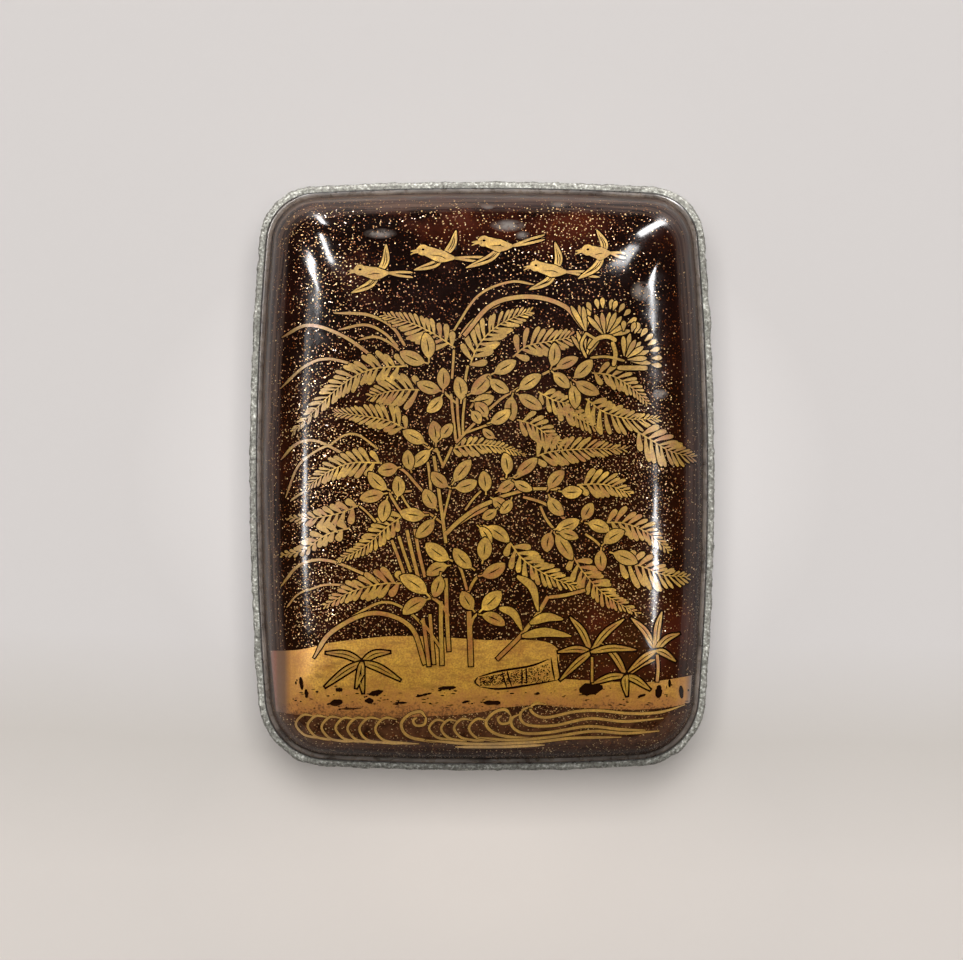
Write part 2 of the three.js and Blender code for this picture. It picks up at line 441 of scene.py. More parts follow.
class Surface:
    """The lid's outside, on to which the picture is dropped from above."""

    def __init__(self, piece):
        mesh = piece.data
        self.tree = BVHTree.FromPolygons([v.co for v in mesh.vertices], [p.vertices for p in mesh.polygons])

    def hold_in(self, plan_mm):
        """Draws in what would lie past the dome's edge."""
        edge = outline(LID_WALL_HEAD + 0.1, SHELL_SPACING)
        bearings = np.arctan2(edge[:, 1], edge[:, 0])
        order = np.argsort(bearings)
        reach = np.linalg.norm(edge, axis=1)
        bearing = np.arctan2(plan_mm[:, 1], plan_mm[:, 0])
        limit = np.interp(bearing, bearings[order], reach[order], period=2 * math.pi)
        far = np.linalg.norm(plan_mm, axis=1)
        return plan_mm * np.minimum(1, limit / np.maximum(far, 1e-6))[:, None]

    def drop(self, plan_mm, lifts):
        placed = np.empty((len(plan_mm), 3))
        down = Vector((0, 0, -1))
        start = 2 * (LID_WALL_TOP + DOME_RISE) * MM
        for index, (x, y) in enumerate(self.hold_in(plan_mm)):
            spot, normal, _, _ = self.tree.ray_cast(Vector((x * MM, y * MM, start)), down)
            if spot is None:
                # A ray that runs down the very edge of a face slips past it, so it is moved aside by a hair.
                aside = Vector(((x + 0.003) * MM, (y + 0.002) * MM, start))
                spot, normal, _, _ = self.tree.ray_cast(aside, down)
            placed[index] = (spot / MM + normal * lifts[index])[:]
        return placed


# Brush shapes. Sizes are in pixels of the plan, as the places are.

PX = MM_PER_PX * PICTURE_SHRINK
FULLNESS = 1.16
LEAFLET_SPREAD = 1.12
LEAFLET_SLIT = 1.1
LEAF_FULLNESS = 0.9
STEM_FINENESS = 0.8


class Brush:
    """Lays gold shapes with a dark line round each, so that they part where they cross."""

    def __init__(self, gold, dark, rng):
        self.gold = gold
        self.dark = dark
        self.rng = rng

    def lay(self, path, half_widths, lift, tone, keyline=KEYLINE_PX):
        edge = keyline * PX
        self.gold.strip(path, half_widths, lift, tone)
        if keyline:
            along = tangents(path)
            longer = path.copy()
            longer[0] -= along[0] * edge
            longer[-1] += along[-1] * edge
            self.dark.strip(longer, half_widths + edge, lift - KEYLINE_DROP)

    def line(self, points, width, lift, tone, taper_start=0.4, taper_end=1.0, keyline=KEYLINE_PX, steps=24):
        path = through(points, steps)
        share = np.linspace(0, 1, len(path))
        taper = np.minimum(1, np.minimum(taper_start + share * 6, taper_end + (1 - share) * 6))
        self.lay(path, 0.5 * width * PX * taper, lift, tone, keyline)

    def scratch(self, points, width, lift, steps=8):
        """A dark engraved line that shows over the gold."""
        path = through(points, steps)
        share = np.linspace(0, 1, len(path))
        taper = 0.15 + 0.85 * np.sin(math.pi * share) ** 0.6
        self.dark.strip(path, 0.5 * width * PX * taper, lift)

    def leaf(self, base, tip, width, lift, tone):
        """A rounded leaf on a short stalk, from its stem to its tip, with an engraved midrib."""
        start = on_plan(base)
        forward = on_plan(tip) - start
        side = np.array([-forward[1], forward[0]])
        share = np.linspace(0.0, 1.0, 15)
        bow = self.rng.uniform(-0.09, 0.09) * np.sin(math.pi * share)
        path = start + share[:, None] * forward + bow[:, None] * side
        blade = np.clip((share - 0.16) / 0.84, 0, 1)
        swell = np.maximum(np.sin(math.pi * blade**0.92) ** 0.62, 0.12 * (1 - share))
        self.lay(path, 0.5 * LEAF_FULLNESS * width * PX * swell + 0.01, lift, tone)
        vein = path[5:12]
        fine = np.array([0.2, 0.5, 0.62, 0.6, 0.5, 0.35, 0.12])
        self.dark.strip(vein, fine * PX, lift + KEYLINE_DROP)

    def blade(self, points, width, lift, tone, midline=True, keyline=KEYLINE_PX):
        """A lance-shaped leaf with a dark midline."""
        path = through(points, 12)
        share = np.linspace(0, 1, len(path))
        swell = np.sin(math.pi * (0.04 + 0.93 * share) ** 0.85) ** 0.8
        self.lay(path, 0.5 * width * PX * swell, lift, tone, keyline)
        if midline:
            inner = path[2:-2]
            fine = 0.5 * PX * np.sin(math.pi * np.linspace(0.08, 0.95, len(inner)))
            self.dark.strip(inner, fine, lift + KEYLINE_DROP)

    def frond(self, points, leaflet, lift, tone, spacing=6.0, upper=1.0, lower=1.0):
        """A fern frond: a thin rib with close leaflets that shorten towards its tip."""
        path = through(points, 60)
        along = tangents(path)
        lengths = np.concatenate([[0], np.cumsum(np.linalg.norm(np.diff(path, axis=0), axis=1))])
        total = lengths[-1]
        spacing *= LEAFLET_SPREAD
        pairs = max(6, round(1.25 * total / PX / spacing))
        for side, reach in ((1, upper), (-1, lower)):
            for number in range(pairs):
                # The leaflets crowd together towards the tip.
                share = ((number + 0.5 + 0.25 * side) / pairs) ** 0.82
                share = min(max(share, 0.02), 0.98)
                spot = min(np.searchsorted(lengths, share * total), len(path) - 1)
                swell = min(1.0, 0.7 + 2.4 * share) * (1 - 0.76 * max(0.0, (share - 0.22) / 0.78) ** 1.5)
                length = FULLNESS * leaflet * reach * swell * self.rng.uniform(0.88, 1.1)
                lean = 62 - 32 * share + self.rng.uniform(-5, 5)
                pitch = spacing * (1.0 - 0.38 * share)
                width = pitch * math.sin(math.radians(lean)) - LEAFLET_SLIT
                self.leaflet(path[spot], along[spot], side, lean, length, width, lift, tone)
        rib = np.linspace(0.75, 0.3, len(path)) * PX
        self.lay(path, rib, lift + 0.0015, tone + 0.08, keyline=0)

    def leaflet(self, root, direction, side, lean, length, width, lift, tone):
        """A leaflet that leaves its rib narrow, widens, and ends bluntly."""
        steps = 8
        share = np.linspace(0, 1, steps)
        path = [np.array(root)]
        for part in range(1, steps):
            turn = lean * (1.16 - 0.4 * share[part])
            path.append(path[-1] + turned(direction, side * turn) * length * PX / (steps - 1))
        swell = np.array([0.5, 0.62, 0.8, 0.98, 1.14, 1.24, 1.16, 0.58])
        shade = tone + self.rng.uniform(-0.14, 0.14) - 0.12 * (1 - share)
        self.lay(np.array(path), 0.5 * width * PX * swell, lift, shade, keyline=0.8)

    def petal(self, root, degrees, length, width, lift, tone):
        """A drop: narrow where it starts and round at its end."""
        start = on_plan(root)
        forward = turned((1.0, 0.0), degrees)
        share = np.linspace(0, 1, 9)
        path = start + share[:, None] * forward * length * PX
        swell = np.sin(math.pi * np.minimum(0.99, 0.03 + share**1.6 * 0.94)) ** 0.7
        self.lay(path, 0.5 * width * PX * swell + 0.01, lift, tone)

    def dot(self, relief, centre, width, height, lift, tone=0.5, degrees=0, ragged=0.0):
        """A round or ragged spot."""
        middle = on_plan(centre)
        forward = turned((1.0, 0.0), degrees)
        share = np.linspace(0, 1, 8)
        path = middle + ((share - 0.5) * width * PX)[:, None] * forward
        swell = np.sin(math.pi * (0.03 + 0.94 * share)) ** 0.5
        swell = swell * (1 + ragged * np.array([self.rng.uniform(-1, 1) for _ in share]))
        relief.strip(path, 0.5 * height * PX * swell, lift, tone)


# The picture

# Long grass, each as the points that it bends through from its free tip, with its width.
GRASSES = (
    (((281, 337), (308, 325), (343, 336), (377, 360)), 3.6),
    (((334, 313), (368, 315), (392, 327), (405, 346)), 3.2),
    (((338, 330), (365, 325), (384, 333), (398, 347)), 3.0),
    (((358, 340), (375, 337), (388, 342), (400, 351)), 2.6),
    (((280, 388), (305, 366), (330, 359), (372, 371)), 3.0),
    (((280, 460), (296, 444), (316, 441), (344, 454)), 3.0),
    (((285, 498), (298, 466), (318, 450), (333, 444)), 2.6),
    (((328, 447), (343, 436), (358, 435), (378, 449)), 2.4),
    (((290, 501), (300, 494), (312, 489)), 2.4),
    (((280, 587), (300, 565), (330, 561), (380, 581)), 3.2),
    (((306, 591), (325, 585), (345, 585)), 2.4),
    (((286, 608), (296, 596), (308, 589)), 2.0),
    (((352, 616), (385, 602), (414, 616), (441, 650)), 2.8),
    (((536, 285), (510, 282), (478, 296), (453, 332)), 2.6),
    (((500, 305), (484, 312), (468, 325), (459, 338)), 2.4),
)
THICK_GRASSES = (
    (((314, 658), (332, 632), (372, 613), (410, 626), (425, 664)), 4.2),
    (((583, 330), (565, 307), (530, 297), (492, 305), (464, 336)), 4.2),
)

# Fern fronds from base to tip: the longest leaflet, its share above and below the rib, and the spacing.
FRONDS = (
    (((455, 348), (432, 333), (408, 322), (384, 315)), 19, 0.75, 1.05, 6.4),
    (((469, 368), (479, 345), (499, 325), (531, 311)), 19, 0.95, 1.0, 6.6),
    (((513, 357), (528, 346), (553, 341), (583, 335)), 18, 0.9, 0.95, 6.4),
    (((408, 366), (370, 370), (338, 388), (293, 432)), 16, 1.0, 0.95, 6.2),
    (((424, 390), (405, 390), (388, 392), (370, 397)), 18, 1.0, 1.05, 6.4),
    (((409, 431), (389, 421), (364, 416), (334, 413)), 16, 1.0, 0.85, 6.0),
    (((382, 463), (352, 463), (328, 472), (306, 488)), 16, 0.95, 1.0, 6.2),
    (((360, 505), (340, 513), (314, 518), (289, 518)), 13, 0.9, 1.15, 7.2),
    (((350, 528), (326, 535), (304, 550), (281, 556)), 13, 1.0, 0.75, 7.6),
    (((404, 515), (386, 528), (364, 547), (338, 561)), 15, 0.85, 0.85, 5.8),
    (((408, 583), (380, 584), (351, 592), (325, 606)), 16, 1.0, 0.95, 7.6),
    (((449, 449), (473, 445), (500, 447), (526, 455)), 11, 0.75, 1.1, 5.2),
    (((531, 459), (550, 452), (585, 449), (624, 449)), 18, 0.9, 0.95, 6.2),
    (((517, 420), (533, 425), (548, 436), (562, 446)), 17, 0.8, 1.1, 6.0),
    (((538, 392), (553, 400), (569, 405), (588, 420)), 13, 0.8, 1.1, 5.8),
    (((556, 409), (572, 414), (588, 424), (602, 430)), 13, 0.7, 1.0, 5.8),
    (((586, 399), (604, 412), (630, 419), (658, 418)), 18, 0.75, 1.1, 6.2),
    (((592, 373), (612, 376), (632, 388), (648, 404)), 14, 0.95, 0.95, 6.0),
    (((636, 431), (651, 440), (670, 451), (693, 457)), 22, 0.85, 0.95, 6.6),
    (((577, 485), (595, 484), (611, 486), (630, 494)), 17, 1.0, 0.9, 6.4),
    (((600, 523), (622, 523), (646, 532), (669, 551)), 15, 1.05, 0.95, 6.6),
    (((617, 560), (640, 566), (664, 575), (688, 577)), 20, 0.75, 1.1, 6.6),
    (((508, 540), (524, 560), (549, 576), (579, 588)), 17, 1.0, 0.9, 6.8),
    (((572, 555), (584, 573), (604, 594), (636, 613)), 17, 0.95, 0.85, 6.2),
)

# Stems and branches, with their widths.
STEMS = (
    (((454, 350), (453, 366), (452, 379)), 3.0),
    (((468, 366), (466, 376), (465, 388)), 3.2),
    (((451, 394), (453, 415), (456, 441)), 3.4),
    (((457, 398), (458, 418), (460, 438)), 3.2),
    (((465, 398), (463, 418), (463, 436)), 3.0),
    (((443, 391), (452, 400), (458, 404)), 3.0),
    (((470, 409), (478, 398), (491, 392)), 2.6),
    (((456, 443), (474, 424), (500, 400), (514, 391)), 3.2),
    (((463, 434), (482, 427), (497, 422)), 2.6),
    (((514, 391), (533, 380), (550, 371), (562, 367)), 3.0),
    (((552, 372), (566, 377), (576, 380)), 2.4),
    (((411, 432), (426, 446), (440, 453)), 3.0),
    (((434, 442), (437, 450), (443, 466)), 3.0),
    (((452, 447), (447, 458), (442, 468)), 3.2),
    (((384, 463), (403, 470), (418, 486), (428, 497)), 3.4),
    (((428, 462), (430, 478), (431, 494)), 3.2),
    (((434, 456), (438, 484), (443, 520), (446, 543)), 4.0),
    (((361, 493), (386, 493), (412, 491)), 2.8),
    (((390, 494), (397, 506), (405, 518)), 3.2),
    (((401, 494), (407, 504), (413, 512)), 2.6),
    (((360, 506), (368, 513), (376, 522)), 2.6),
    (((442, 523), (430, 514), (420, 512)), 2.8),
    (((451, 488), (447, 504), (443, 521)), 2.8),
    (((450, 488), (455, 476), (460, 468)), 2.8),
    (((446, 534), (458, 522), (477, 508), (495, 500)), 5.0),
    (((458, 524), (471, 516), (488, 508)), 4.0),
    (((465, 510), (474, 498), (481, 491)), 2.8),
    (((494, 499), (514, 493), (533, 489), (560, 489)), 3.8),
    (((500, 479), (514, 478), (524, 474)), 2.8),
    (((523, 497), (543, 503), (560, 515), (573, 528)), 3.4),
    (((540, 506), (546, 519), (556, 532), (566, 545)), 3.0),
    (((585, 534), (595, 541), (604, 550)), 2.8),
    (((578, 524), (584, 516), (588, 508)), 2.6),
    (((392, 540), (398, 556), (404, 573)), 3.6),
    (((399, 536), (404, 552), (411, 572)), 3.6),
    (((407, 530), (412, 552), (419, 580)), 4.2),
    (((415, 529), (419, 552), (425, 577)), 4.0),
    (((408, 578), (422, 590), (440, 603), (449, 616)), 4.0),
    (((441, 601), (441, 630), (442, 665)), 4.8),
    (((446, 578), (447, 616), (449, 651)), 4.6),
    (((423, 618), (426, 640), (429, 666)), 4.4),
    (((430, 614), (432, 640), (434, 664)), 4.0),
    (((421, 620), (430, 632), (441, 648)), 3.2),
    (((469, 611), (470, 638), (471, 666)), 6.0),
    (((456, 560), (462, 572), (467, 590)), 3.2),
    (((486, 572), (476, 578), (468, 592)), 3.4),
    (((480, 612), (474, 617), (471, 625)), 3.0),
    (((497, 659), (520, 636), (538, 613), (548, 596)), 4.6),
    (((549, 597), (565, 595), (585, 590)), 4.2),
    (((478, 525), (488, 530), (502, 538)), 2.8),
    (((592, 657), (592, 668), (592, 682)), 3.0),
    (((657, 655), (658, 668), (657, 682)), 3.6),
)

# Rounded leaves: where each joins its stem, its tip, and its width.
LEAVES = (
    ((429, 364), (400, 352), 15), ((429, 363), (425, 333), 15), ((444, 392), (417, 383), 14),
    ((443, 393), (443, 368), 14), ((443, 394), (427, 412), 13), ((461, 404), (457, 377), 15),
    ((467, 396), (490, 374), 16), ((488, 377), (509, 392), 13), ((470, 401), (494, 397), 14),
    ((488, 420), (475, 403), 13), ((491, 375), (516, 361), 14), ((516, 392), (541, 375), 14),
    ((515, 393), (542, 409), 14), ((513, 393), (513, 421), 14), ((487, 424), (510, 410), 13),
    ((550, 370), (554, 343), 13), ((553, 370), (578, 358), 12), ((571, 380), (592, 360), 14),
    ((551, 371), (569, 388), 13), ((572, 380), (599, 394), 14), ((570, 382), (575, 409), 13),
    ((428, 445), (403, 431), 14), ((436, 447), (433, 421), 15), ((412, 473), (408, 450), 13),
    ((433, 448), (412, 467), 13), ((452, 485), (471, 460), 14), ((451, 488), (432, 472), 14),
    ((452, 488), (477, 481), 14), ((486, 495), (483, 471), 14), ((495, 493), (515, 480), 12),
    ((512, 480), (532, 490), 11), ((506, 478), (504, 453), 13), ((513, 477), (537, 458), 13),
    ((490, 497), (507, 511), 13), ((512, 497), (500, 513), 11), ((498, 508), (482, 518), 11),
    ((547, 492), (564, 471), 14), ((558, 491), (582, 491), 14), ((548, 494), (563, 515), 14),
    ((401, 467), (378, 471), 15), ((391, 491), (369, 472), 14), ((397, 500), (397, 476), 14),
    ((388, 493), (360, 499), 14), ((388, 496), (383, 522), 14), ((429, 515), (400, 512), 15),
    ((436, 516), (416, 537), 14), ((438, 511), (425, 489), 15), ((453, 561), (426, 543), 17),
    ((451, 565), (427, 575), 14), ((441, 572), (434, 597), 14), ((475, 570), (454, 548), 15),
    ((482, 564), (485, 537), 16), ((478, 576), (505, 563), 15), ((483, 525), (509, 542), 14),
    ((477, 525), (491, 544), 10), ((552, 530), (547, 552), 14), ((553, 531), (572, 560), 14),
    ((552, 530), (579, 520), 14), ((556, 532), (578, 538), 11), ((581, 522), (592, 503), 13),
    ((584, 523), (609, 531), 14), ((601, 546), (624, 531), 14), ((601, 547), (602, 571), 13),
    ((609, 552), (637, 563), 15), ((430, 597), (400, 576), 17), ((431, 598), (403, 614), 15),
    ((475, 612), (462, 591), 15), ((479, 612), (501, 591), 17), ((478, 614), (505, 625), 13),
    ((497, 439), (483, 429), 9), ((470, 410), (480, 424), 11), ((440, 440), (452, 424), 12),
)

# Fans of petals: node, first and last bearing, where the petals start and end, their count and width.
PETAL_FANS = (
    ((586, 358), 50, 135, 3, 26, 5, 3.6), ((586, 333), 78, 122, 2, 30, 4, 4.6),
    ((605, 337), 8, 140, 4, 26, 8, 4.6), ((604, 336), 0, 124, 28, 38, 10, 4.6),
    ((624, 360), -16, 100, 4, 26, 8, 4.8), ((622, 360), -12, 92, 30, 41, 9, 4.8),
)
PLUME_STROKES = (
    (((588, 349), (597, 339), (608, 337), (616, 341)), 4), (((613, 366), (615, 354), (612, 342)), 4),
    (((617, 368), (632, 368), (647, 368)), 4.6), (((590, 358), (607, 357), (624, 361)), 2.4),
    (((585, 333), (596, 339), (606, 337)), 2.4), (((586, 358), (581, 345), (586, 333)), 2.6),
)

# Lance leaves on the slanting sprig.
SPRIG_BLADES = (
    (((530, 623), (546, 617), (563, 619)), 9),
    (((522, 636), (545, 632), (571, 636)), 9),
    (((499, 608), (513, 613), (522, 630)), 8),
    (((517, 576), (532, 587), (538, 611)), 8),
)

# Star-shaped low bamboo: the middle, and the tips that its blades reach.
STARS = (
    ((362, 662), ((326, 653), (390, 652), (325, 687), (400, 680), (363, 693), (356, 688))),
    ((591, 652), ((570, 617), (624, 619), (558, 652), (560, 680), (636, 650))),
    ((656, 651), ((631, 618), (662, 612), (680, 634), (676, 662), (628, 672))),
    ((626, 676), ((601, 643), (655, 660), (592, 684), (650, 690), (627, 696))),
)

# Edges of the shore, from left to right.
SHORE_TOP = ((269, 652), (300, 650), (330, 643), (362, 639), (395, 636), (440, 637), (485, 640), (530, 640),
             (549, 643), (559, 650))
SHELF_TOP = ((559, 679), (600, 681), (640, 683), (670, 680), (697, 676))
SHORE_FOOT = ((275, 713), (300, 716), (350, 719), (420, 717), (470, 714), (505, 708), (540, 705), (559, 707))
SHELF_FOOT = ((559, 707), (600, 709), (640, 710), (670, 708), (697, 703))

# Places on the shore where the gold is gone: middle, width, height, turn.
WORN_SPOTS = (
    ((591, 689), 24, 12, 8), ((492, 703), 17, 5, 0), ((376, 693), 15, 5, 14), ((369, 701), 9, 5, 0),
    ((336, 703), 13, 6, 10), ((301, 684), 13, 4, 98), ((306, 694), 9, 4, 95), ((339, 690), 7, 5, 0),
    ((447, 688), 18, 4, 4), ((424, 695), 16, 2.4, 14), ((659, 692), 13, 7, 85), ((682, 693), 13, 5, 95),
    ((646, 660), 10, 7, 20), ((670, 684), 8, 3, 90), ((517, 711), 9, 3, 10), ((642, 696), 8, 3, 15),
    ((350, 709), 22, 2, 2), ((537, 694), 6, 2, 5), ((401, 703), 12, 2, 0), ((466, 702), 8, 2.4, 12),
)

# Dull grey places in the lacquer: middle, width, height.
DULL_PATCHES = (
    ((508, 225), 27, 10), ((380, 233), 25, 8), ((523, 235), 12, 7), ((641, 291), 16, 15), ((488, 205), 11, 5),
    ((559, 203), 14, 5), ((661, 394), 12, 8),
)
# Places where the lacquer is thin and its red-brown ground shows: middle and radius.
THIN_PLACES = (((368, 264), 42), ((618, 655), 66), ((640, 638), 78), ((440, 216), 60), ((560, 214), 60),
               ((505, 236), 16))

WAVE_LINE = 2.4
STREAMS = (
    ((546, 705), (536, 703), (531, 711), (545, 718), (575, 712), (600, 711), (630, 714), (660, 713),
     (686, 706)),
    ((533, 706), (522, 711), (521, 720), (530, 726), (555, 726), (590, 719), (625, 722), (664, 719)),
    ((521, 714), (512, 719), (513, 728), (525, 734), (550, 733), (588, 727), (620, 730), (646, 731)),
    ((478, 738), (510, 741), (550, 738), (592, 732), (625, 734), (660, 732)),
    ((425, 741), (475, 745), (535, 743), (572, 739), (622, 738)),
    ((455, 748), (500, 748), (545, 746)),
)
# Wave crests: the left side, the top and the foot, and how far the foot runs on.
CRESTS = (
    (295, 716, 736, 26), (307, 717, 738, 28), (321, 718, 740, 32), (335, 719, 740, 30), (347, 719, 741, 34),
    (359, 719, 742, 48), (375, 719, 742, 44), (429, 721, 738, 24), (441, 721, 739, 26), (454, 720, 739, 30),
    (469, 720, 739, 34),
)
CURLS = ((401, 714, 741, 66), (486, 712, 737, 56))

# Birds: head, rump, tips of the upper and lower wings, and the tail's end.
BIRDS = (
    ((361, 270), (388, 273), (386, 244), (351, 293), (413, 275)),
    ((424, 250), (454, 258), (456, 230), (414, 270), (490, 260)),
    ((485, 241), (512, 246), None, (466, 268), (545, 237)),
    ((537, 266), (566, 272), (555, 242), (529, 290), (600, 275)),
    ((589, 250), (610, 253), (597, 230), (578, 279), (626, 256)),
)


def draw_bird(brush, head, rump, wing_up, wing_down, tail, lift):
    """A small bird that flies left, with pointed wings and a forked tail."""
    hx, hy = head
    rx, ry = rump
    middle = ((hx + rx) / 2 + 1, (hy + ry) / 2 + 2)
    tone = 0.56
    body = through((head, middle, rump), 14)
    share = np.linspace(0, 1, len(body))
    swell = np.interp(share, (0, 0.12, 0.3, 0.5, 0.75, 1), (4.2, 5.2, 5.6, 6.4, 4.4, 1.6))
    shoulder = (middle[0] + 3, middle[1])
    for tip, base_width in ((wing_up, 7.5), (wing_down, 7.5)):
        if tip is None:
            continue
        bend = ((shoulder[0] * 0.55 + tip[0] * 0.45) + 3.5, shoulder[1] * 0.5 + tip[1] * 0.5 + 1.5)
        brush.blade((shoulder, bend, tip), base_width, lift, tone, midline=False)
        slit = ((shoulder[0] + bend[0]) / 2 + 1, (shoulder[1] + bend[1]) / 2)
        for aside, reach in ((-0.9, 0.75), (1.3, 0.5)):
            far = (bend[0] + (tip[0] - bend[0]) * reach + 0.4 * aside, bend[1] + (tip[1] - bend[1]) * reach)
            brush.scratch(((slit[0] + aside, slit[1]), (bend[0] + aside, bend[1]), far), 0.9, lift + 0.02)
    for spread in (-2.4, 2.4):
        end = (tail[0], tail[1] + spread)
        bent = ((rx + tail[0]) / 2, (ry + tail[1]) / 2 + spread * 0.8)
        brush.line((rump, bent, end), 2.3, lift + 0.004, tone - 0.1, 1.0, 0.2)
    brush.lay(body, swell * PX, lift + 0.008, tone)
    brush.dot(brush.gold, (hx - 1, hy), 12, 11, lift + 0.011, tone + 0.05)
    for drop in (-0.4, 3.0):
        beak = through(((hx - 4, hy + 1), (hx - 9, hy + 1 + 0.4 * drop), (hx - 13.5, hy + 1.6 + drop)), 6)
        brush.lay(beak, np.linspace(1.9, 0.3, len(beak)) * PX, lift + 0.009, tone, keyline=0.4)
    brush.dot(brush.dark, (hx - 1, hy - 0.5), 3.0, 2.2, lift + 0.018)
    brush.scratch(((hx + 6, hy + 5), middle, (rx - 8, ry + 1)), 0.8, lift + 0.016)


def draw_plume(brush):
    """A fountain of drop-shaped petals at the head of the right-hand branch."""
    lift = LEAF_LIFT - 0.02
    for layer, (node, low, high, start, end, count, width) in enumerate(PETAL_FANS):
        for number in range(count):
            degrees = low + (high - low) * (number + 0.5) / count + brush.rng.uniform(-3, 3)
            angle = math.radians(degrees)
            near = start + brush.rng.uniform(-1, 1)
            root = (node[0] + near * math.cos(angle), node[1] - near * math.sin(angle))
            tone = 0.6 + brush.rng.uniform(-0.2, 0.15)
            length = (end - start) * brush.rng.uniform(0.85, 1.1)
            brush.petal(root, degrees, length, width, lift + 0.008 * layer + 0.01 * (number % 2), tone)
    for points, width in PLUME_STROKES:
        brush.line(points, width, lift + 0.06, 0.62, 0.5, 0.6)


def draw_star(brush, middle, tips, lift):
    for number, tip in enumerate(tips):
        rise = 3 if tip[0] < middle[0] else -3
        bend = ((middle[0] + tip[0]) / 2 + 0.5 * rise, (middle[1] + tip[1]) / 2 - abs(rise))
        brush.blade((middle, bend, tip), 6.4, lift + 0.007 * number, 0.4, keyline=1.7)


def draw_ferns_and_leaves(brush):
    for points, width in GRASSES:
        brush.line(points, 0.88 * width, GRASS_LIFT, 0.34, 0.3, 0.8)
    for number, (points, leaflet, upper, lower, spacing) in enumerate(FRONDS):
        # The rib's left is the photograph's upper side only where the rib runs right.
        runs_right = points[-1][0] > points[0][0]
        left, right = (upper, lower) if runs_right else (lower, upper)
        tone = 0.5 + 0.1 * math.sin(number * 2.4)
        brush.frond(points, leaflet, FROND_LIFT + FROND_STEP * number, tone, spacing, left, right)
    for number, (points, width) in enumerate(STEMS):
        tone = 0.34 + 0.12 * math.sin(number * 1.7)
        fine = STEM_FINENESS * width
        brush.line(points, fine, LEAF_LIFT - 0.012 + 0.002 * (number % 5), tone, 0.9, 0.9, steps=12)
    for points, width in THICK_GRASSES:
        brush.line(points, width, LEAF_LIFT - 0.02, 0.3, 0.3, 0.9, steps=36)
    for number, (base, tip, width) in enumerate(LEAVES):
        tone = 0.48 + 0.16 * math.sin(number * 1.9)
        brush.leaf(base, tip, width, LEAF_LIFT + LEAF_STEP * (number % 4), tone)
    draw_plume(brush)
    for points, width in SPRIG_BLADES:
        brush.blade(points, width, LEAF_LIFT, 0.5, midline=False)


def draw_shore(shore, brush):
    """The gold ground, wide on the left and a low shelf on the right, fading to orange at its foot."""
    rows = 120
    columns = 16
    for top, foot in ((SHORE_TOP, SHORE_FOOT), (SHELF_TOP, SHELF_FOOT)):
        upper = through(top, rows)
        lower = through(foot, rows)
        share = np.linspace(0, 1, columns)[None, :, None]
        grid = upper[:, None, :] * (1 - share) + lower[:, None, :] * share
        shore.sheet(grid, 0.026, 0.5)
    rng = brush.rng
    for middle, width, height, turn in WORN_SPOTS:
        brush.dot(brush.dark, middle, width, height, 0.05, degrees=turn, ragged=0.25)
        for _ in range(int(width / 5)):
            near = (middle[0] + rng.uniform(-0.7, 0.7) * width, middle[1] + rng.uniform(-0.8, 0.8) * height)
            brush.dot(brush.dark, near, rng.uniform(1.5, 4), rng.uniform(0.7, 1.8), 0.044, degrees=turn)
    for _ in range(90):
        place = (rng.uniform(285, 690), rng.uniform(688, 709))
        width = rng.uniform(1.5, 5)
        height = rng.uniform(0.6, 1.3)
        brush.dot(brush.dark, place, width, height, 0.04, degrees=rng.uniform(-8, 8))
    draw_fence(brush)


def draw_fence(brush):
    """A low fence of stippled panels that lies along the shore."""
    top = ((478, 677), (500, 671), (530, 666), (549, 659))
    foot = ((480, 687), (500, 689), (530, 685), (558, 680))
    brush.scratch(top, 2.3, 0.048, 16)
    brush.scratch(foot, 2.3, 0.048, 16)
    brush.scratch((top[0], (475, 682), foot[0]), 2.0, 0.048)
    for x, high, low, lean in ((502, 671, 688, 5), (507, 670, 687, 5), (522, 668, 686, 0), (526, 667, 685, 1),
                               (551, 657, 681, 4), (557, 655, 680, 4)):
        brush.scratch(((x, high), (x + lean * 0.4, (high + low) / 2), (x + lean, low)), 1.8, 0.048)
    rng = brush.rng
    for _ in range(520):
        share = rng.random()
        x = 480 + 70 * share
        high = 677 - 14 * share
        low = 687 - 4 * share
        y = rng.uniform(high + 1, low - 1)
        brush.dot(brush.dark, (x, y), rng.uniform(0.8, 1.5), rng.uniform(0.7, 1.2), 0.046)


def draw_waves(brush):
    lift = 0.03
    for left, top, foot, run in CRESTS:
        height = foot - top
        start = (left + height * 0.95, top + 1)
        points = (start, (left + height * 0.4, top - 0.5), (left, top + height * 0.45),
                  (left + height * 0.35, foot - 1), (left + run * 0.6, foot + 2), (left + run, foot + 3))
        brush.line(points, WAVE_LINE, lift, 0.74, 0.2, 0.2, keyline=0.6)
    for left, top, foot, run in CURLS:
        height = foot - top
        points = ((left + 25, top + 4), (left + 19, top - 2), (left + 8, top + 1), (left, top + 11),
                  (left + 7, foot - 4), (left + run * 0.45, foot + 1), (left + run, foot + 2))
        brush.line(points, 2.9, lift + 0.004, 0.76, 0.3, 0.2, keyline=0.6, steps=34)
        inner = ((left + 25, top + 4), (left + 23, top + 11), (left + 15, top + 12), (left + 12, top + 7),
                 (left + 16, top + 4))
        brush.line(inner, 2.4, lift + 0.006, 0.76, 0.6, 0.3, keyline=0.6)
    for number, points in enumerate(STREAMS):
        brush.line(points, WAVE_LINE + 0.3, lift + 0.004 * number, 0.78, 0.3, 0.3, keyline=0.6, steps=48)


